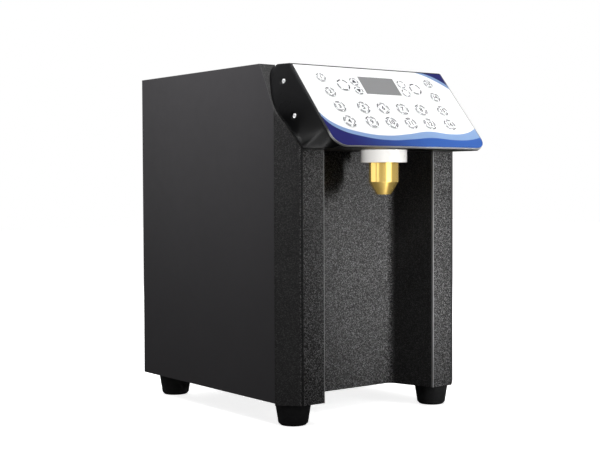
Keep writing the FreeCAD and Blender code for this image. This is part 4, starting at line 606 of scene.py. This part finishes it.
def dress_nodes():
    """Gives each CAD node its material, and adds the pieces that scene.py makes itself."""
    satin = satin_paint()
    paint(satin, ["left_side_panel", "right_side_panel", "rear_panel", "top_deck", "lid", "base_pan"])
    paint(textured_paint(), ["front_panel"])
    paint(gloss_black(), ["console_housing"])
    paint(plate_material(), ["face_plate"])
    paint(overlay_material(), ["panel_overlay"])
    paint(display_material(), ["display_module"])
    paint(board_material(), ["control_board"])
    turn_step = 1.3
    for number, name in enumerate(key_names()):
        across, up, radius = key_place(name)
        plain = not name[-1].isdigit()
        paint(key_material(name, across, up, radius, turn_step * number, plain), [name])
    paint(moulded("collar_white", (0.68, 0.665, 0.64), (0.74, 0.725, 0.70), 0.3), ["nozzle_collar"])
    brass = metal("brass", (0.90, 0.61, 0.155), (0.94, 0.67, 0.20), 0.17, (1.0, 1.0, 24.0), 0.72, 0.012)
    paint(brass, ["nozzle_tip"])
    steel = metal("stainless", (0.56, 0.56, 0.57), (0.66, 0.66, 0.665), 0.30, (1.0, 30.0, 1.0))
    paint(steel, ["syrup_tank", "tank_outlet", "temperature_probe", "pump_bracket"])
    bright = metal("bright_screws", (0.78, 0.78, 0.79), (0.88, 0.88, 0.89), 0.3, metallic=0.6)
    paint(bright, ["cabinet_screws", "hinge_pins", "hose_clamps"])
    make_console_screws(bright)
    ground = metal("ground_steel", (0.44, 0.44, 0.45), (0.55, 0.55, 0.56), 0.33)
    paint(ground, ["drive_gear", "idler_gear", "valve_poppet"])
    make_valve_spring(ground)
    paint(metal("pump_alloy", (0.5, 0.5, 0.51), (0.6, 0.6, 0.61), 0.42), ["pump_body", "pump_cover"])
    sheet = metal("supply_sheet", (0.6, 0.6, 0.6), (0.68, 0.68, 0.68), 0.38, (30.0, 1.0, 1.0))
    paint(sheet, ["power_supply"])
    paint(moulded("motor_coat", (0.03, 0.03, 0.032), (0.05, 0.05, 0.052), 0.5), ["gear_motor"])
    make_hoses()
    socket = moulded("socket_black", (0.02, 0.02, 0.02), (0.03, 0.03, 0.03), 0.5)
    paint(socket, ["mains_inlet", "power_switch_frame"])
    paint(moulded("rocker_black", (0.015, 0.015, 0.016), (0.022, 0.022, 0.023), 0.28), ["power_rocker"])
    paint(rubber("foot_rubber", (0.024, 0.024, 0.025), (0.052, 0.052, 0.053)), ["feet"])
    paint(rubber("seal_rubber", (0.46, 0.46, 0.45), (0.55, 0.55, 0.53)), ["lid_seal"])
    make_key_marks()


def link(name, data, material, body, place=Matrix()):
    """Puts a piece in its place, with its material, and lets it ride on a body."""
    piece = bpy.data.objects.new(name, data)
    scene.collection.objects.link(piece)
    data.materials.append(material)
    piece.matrix_world = place
    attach(piece, body)
    return piece


def rounded_route(points, bend):
    """The points of a route whose corners are arcs of one radius, from millimetres to metres."""
    arc_steps = 16
    corners = [Vector(point) * MM for point in points]
    route = [corners[0]]
    radius = bend * MM
    for before, corner, after in zip(corners, corners[1:], corners[2:]):
        back, ahead = (before - corner).normalized(), (after - corner).normalized()
        half = back.angle(ahead) / 2
        step = radius / math.tan(half)
        centre = corner + (back + ahead).normalized() * (radius / math.sin(half))
        enter, leave = corner + back * step - centre, corner + ahead * step - centre
        sweep = enter.angle(leave)
        axis = enter.cross(leave)
        for index in range(arc_steps + 1):
            route.append(centre + Matrix.Rotation(sweep * index / arc_steps, 3, axis) @ enter)
    route.append(corners[-1])
    return route


def tube(name, node, points, bend, radius, material):
    """A hose or a loom along its route, as a round tube in place of the solid one."""
    curve = bpy.data.curves.new(name, "CURVE")
    curve.dimensions = "3D"
    curve.bevel_depth = radius * MM
    curve.bevel_resolution = 6
    curve.use_fill_caps = True
    route = rounded_route(points, bend)
    spline = curve.splines.new("POLY")
    spline.points.add(len(route) - 1)
    for spot, place in zip(spline.points, route):
        spot.co = (*place, 1.0)
    spline.use_smooth = True
    piece = link(name, curve, material, "cabinet")
    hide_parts(node)


def make_hoses():
    """The hoses and the wiring loom, on the same routes as the solids, in millimetres."""
    hose_radius, loom_radius = 6.48, 2.58
    delivery_bend, suction_bend, loom_bend = 28.0, 42.0, 25.0
    delivery_route = [(0, -50, 144), (0, -50, 387.97), (0, -143, 387.97), (0, -143, 346.98)]
    suction_route = [(0, 70, 178), (0, 70, 46), (0, -50, 46), (0, -50, 96)]
    loom_route = [(-106.25, 95, 61.2), (-106.25, 95, 111.2), (-126, -50, 111.2),
                  (-126, -50, 391.97), (-60, -50, 391.97), (-60, -139.3, 391.97)]
    silicone = hose_material()
    tube("delivery_tube", "delivery_hose", delivery_route, delivery_bend, hose_radius, silicone)
    tube("suction_tube", "suction_hose", suction_route, suction_bend, hose_radius, silicone)
    sleeve = rubber("loom_sleeve", (0.012, 0.012, 0.012), (0.03, 0.03, 0.03))
    tube("loom_tube", "wiring_loom", loom_route, loom_bend, loom_radius, sleeve)


def cross_head(name, place, turn, radius, height, material):
    """A pan head with a cross recess, cut through down to the screw's own shank."""
    edge_share, arm_share, arm_length_share = 0.12, 0.16, 0.62
    rim_points = 40
    curve = bpy.data.curves.new(name, "CURVE")
    curve.dimensions = "2D"
    curve.fill_mode = "BOTH"
    edge = edge_share * radius
    curve.extrude = height / 2 - edge
    curve.bevel_depth = edge
    curve.bevel_resolution = 3
    angles = [2 * math.pi * index / rim_points for index in range(rim_points)]
    rim = [(math.cos(angle) * (radius - edge), math.sin(angle) * (radius - edge)) for angle in angles]
    arm, long_arm = arm_share * radius + edge, arm_length_share * radius
    corners = [(arm, arm), (long_arm, arm), (long_arm, -arm)]
    plus = []
    for quarter in range(4):
        plus += corners
        corners = [(y, -x) for x, y in corners]
    for outline in (rim, plus):
        spline = curve.splines.new("POLY")
        spline.points.add(len(outline) - 1)
        for spot, (x, y) in zip(spline.points, outline):
            spot.co = (x, y, 0.0, 1.0)
        spline.use_cyclic_u = True
    lift = Matrix.Translation((0.0, 0.0, height / 2))
    return link(name, curve, material, "cabinet", Matrix.Translation(place) @ turn @ lift)


def shank(name, place, turn, radius, length, material):
    """The plain part of a screw, with its ends rounded off."""
    round_share = 0.15
    mesh = bpy.data.meshes.new(name)
    shape = bmesh.new()
    bmesh.ops.create_cone(shape, cap_ends=True, segments=32, radius1=radius, radius2=radius, depth=length)
    bmesh.ops.translate(shape, vec=(0.0, 0.0, -length / 2), verts=shape.verts)
    rims = [edge for edge in shape.edges if abs(edge.verts[0].co.z - edge.verts[1].co.z) < FLAT]
    bmesh.ops.bevel(shape, geom=rims, offset=round_share * radius, segments=3, affect="EDGES", profile=0.5)
    shape.to_mesh(mesh)
    shape.free()
    link(name, mesh, material, "cabinet", Matrix.Translation(place) @ turn)


def make_console_screws(material):
    """The four screws in the console's ears, each a head with a shank that starts inside it."""
    seat, radius, height = 0.1328, 0.00295, 0.00158
    shank_radius, shank_length, shank_start = 0.00148, 0.0089, 0.0004
    recess_turn = 0.5
    spots = ((-0.11187, 0.42240), (-0.13379, 0.37937))
    for side, label in ((-1, "left"), (1, "right")):
        turn = Matrix.Rotation(side * math.pi / 2, 4, "Y") @ Matrix.Rotation(recess_turn, 4, "Z")
        for number, (y, z) in enumerate(spots):
            name = f"ear_screw_{label}_{number}"
            place = Vector((side * seat, y, z))
            head = cross_head(name, place, turn, radius, height, material)
            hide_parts("console_screws")
            start = place + Vector((side * shank_start, 0.0, 0.0))
            shank(name + "_shank", start, turn, shank_radius, shank_length, material)


def make_valve_spring(material):
    """The check valve's spring, as a piece of its own that rides on the cabinet."""
    node = nodes["valve_spring"]
    place = node.matrix_world.copy()
    data = node.data.copy()
    data.materials.clear()
    piece = link("valve_spring_coil", data, material, "cabinet", place)
    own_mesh(piece)
    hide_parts("valve_spring")


def make_numbers(ink):
    """A plain number on each of the portion keys."""
    size_share, boldness, thickness, rise = 0.95, 0.00024, 0.00002, 0.00062
    order = [f"key_{row}_{place}" for row in ("left", "upper", "lower", "right") for place in (1, 2, 3, 4)]
    for number, name in enumerate(order, start=1):
        across, up, radius = key_place(name)
        words = bpy.data.curves.new("number_" + name, "FONT")
        words.body = str(number)
        words.size = size_share * radius
        words.offset = boldness
        words.extrude = thickness
        words.align_x = "CENTER"
        words.align_y = "CENTER"
        link("number_" + name, words, ink, name, PANEL_TURN @ Matrix.Translation((across, up, rise)))


def make_arrows(ink):
    """Arrows on the two keys that step a value: triangles with rounded corners."""
    size_share, round_share, thickness, rise = 0.62, 0.12, 0.00004, 0.00059
    for name, turn in (("key_more", 0.0), ("key_less", math.pi)):
        across, up, radius = key_place(name)
        size = size_share * radius
        mesh = bpy.data.meshes.new("arrow_" + name)
        shape = bmesh.new()
        angles = (0.0, 2 * math.pi / 3, 4 * math.pi / 3)
        low = [shape.verts.new((math.sin(angle) * size, math.cos(angle) * size, 0.0)) for angle in angles]
        face = shape.faces.new(low)
        lifted = bmesh.ops.extrude_face_region(shape, geom=[face])["geom"]
        tops = [item for item in lifted if isinstance(item, bmesh.types.BMVert)]
        bmesh.ops.translate(shape, vec=(0.0, 0.0, thickness), verts=tops)
        upright = [edge for edge in shape.edges if abs(edge.verts[0].co.z - edge.verts[1].co.z) > FLAT]
        bmesh.ops.bevel(shape, geom=upright, offset=round_share * size, segments=4, affect="EDGES",
                        profile=0.5)
        bmesh.ops.recalc_face_normals(shape, faces=shape.faces)
        shape.to_mesh(mesh)
        shape.free()
        place = PANEL_TURN @ Matrix.Translation((across, up, rise)) @ Matrix.Rotation(turn, 4, "Z")
        link("arrow_" + name, mesh, ink, name, place)


def make_key_marks():
    """The thin printed marks that ride on the keys."""
    s = Shader("mark_ink")
    s.colour(s.blend(s.noise(900.0, 3.0), (0.014, 0.014, 0.025), (0.024, 0.024, 0.038)))
    s.roughness(s.drift(500.0, 3.0, 0.34, 0.46))
    make_numbers(s.material)
    make_arrows(s.material)


def make_lights():
    """The studio's lights, then the cards that are mirrored in the brass, the ear and its screws."""
    tip = nodes["nozzle_tip"]
    at_nozzle = (0.0, NOZZLE_Y, 0.325)
    area_light("above", (0.0, -0.6, 1.9), (0.0, -0.15, 0.4), size=0.9, power=22.5)
    area_light("side", (-0.43, 0.02, 0.80), (-0.15, 0.02, 0.28), size=0.25, power=3.7, mirrored=False)
    area_light("low", (0.3, -0.75, 0.08), (0.05, -0.07, 0.12), size=0.12, power=0.062, spread=27.0)
    area_light("fill", (-0.9, -1.0, 1.1), (-0.14, -0.12, 0.50), size=0.5, power=0.22, spread=36.0)
    area_light("back", (0.65, 1.5, 0.85), (0.03, 0.15, 0.2), size=0.8, power=20.0)
    strip = area_light("strip", (0.205, -0.6, 0.30), (0.08, -0.1, 0.27), size=0.045, power=0.25,
                       height=0.15, spread=60.0)
    light_all_but(strip, tip)
    nozzle = area_light("nozzle", (-0.60, -0.85, 0.42), at_nozzle, size=0.3, power=10.0, mirrored=False)
    light_only(nozzle, [nodes["nozzle_collar"], tip])

    # Each card's name and place, its width and height in metres, and its power in watts
    nozzle_cards = [
        ("card_front", (-0.04, -0.95, 0.35), 0.56, 0.70, 3.6),
        ("card_left", (-0.055, -0.115, 0.330), 0.05, 0.09, 0.020),
        ("card_side", (-0.60, -0.16, 0.33), 0.22, 0.60, 0.45),
        ("card_low", (-0.12, -0.36, 0.02), 0.42, 0.22, 2.6),
        ("card_cone", (-0.05, -0.38, 0.03), 0.06, 0.20, 0.8),
    ]
    for name, place, width, height, power in nozzle_cards:
        card(name, place, at_nozzle, width, height, power, [tip])
    ear = [nodes["console_housing"]]
    card("card_cheek", (-0.45, 0.25, 0.22), (-0.135, -0.12, 0.37), 0.2, 0.2, 1.0, ear)
    screws = [piece for piece in scene.objects if piece.name.startswith("ear_screw_left")]
    card("card_screws", (-0.50, 0.30, 0.40), (-0.135, -0.12, 0.40), 0.35, 0.35, 1.5, screws)


def make_floor():
    """A pale floor that fades into the white around it and keeps the object's shadow."""
    mesh = bpy.data.meshes.new("floor")
    reach = 6.0
    near, far, near_glow = 0.25, 0.9, 0.86
    corners = [(-reach, -reach, 0.0), (reach, -reach, 0.0), (reach, reach, 0.0), (-reach, reach, 0.0)]
    mesh.from_pydata(corners, [], [(0, 1, 2, 3)])
    floor = bpy.data.objects.new("floor", mesh)
    scene.collection.objects.link(floor)
    s = Shader("floor_white")
    s.set(Base_Color=(0.9, 0.9, 0.9, 1.0), Roughness=0.9)
    length = s.node("ShaderNodeVectorMath", operation="LENGTH")
    s.join(s.place(), length.inputs[0])
    glow = s.node("ShaderNodeEmission")
    glow.inputs["Color"].default_value = (1.0, 1.0, 1.0, 1.0)
    s.join(s.spread(length.outputs["Value"], near, far, near_glow, 1.0), glow.inputs["Strength"])
    add = s.node("ShaderNodeAddShader")
    s.join(s.surface.outputs["BSDF"], add.inputs[0])
    s.join(glow.outputs["Emission"], add.inputs[1])
    dim = s.node("ShaderNodeBsdfDiffuse")
    dim.inputs["Color"].default_value = (0.06, 0.06, 0.06, 1.0)
    seen = by_ray(s.tree, "Is Camera Ray", dim.outputs["BSDF"], add.outputs["Shader"])
    output = next(n for n in s.tree.nodes if n.type == "OUTPUT_MATERIAL")
    s.join(seen, output.inputs["Surface"])
    mesh.materials.append(s.material)


make_camera()
make_world()
dress_nodes()
make_lights()
make_floor()
scene.view_settings.view_transform = "Standard"
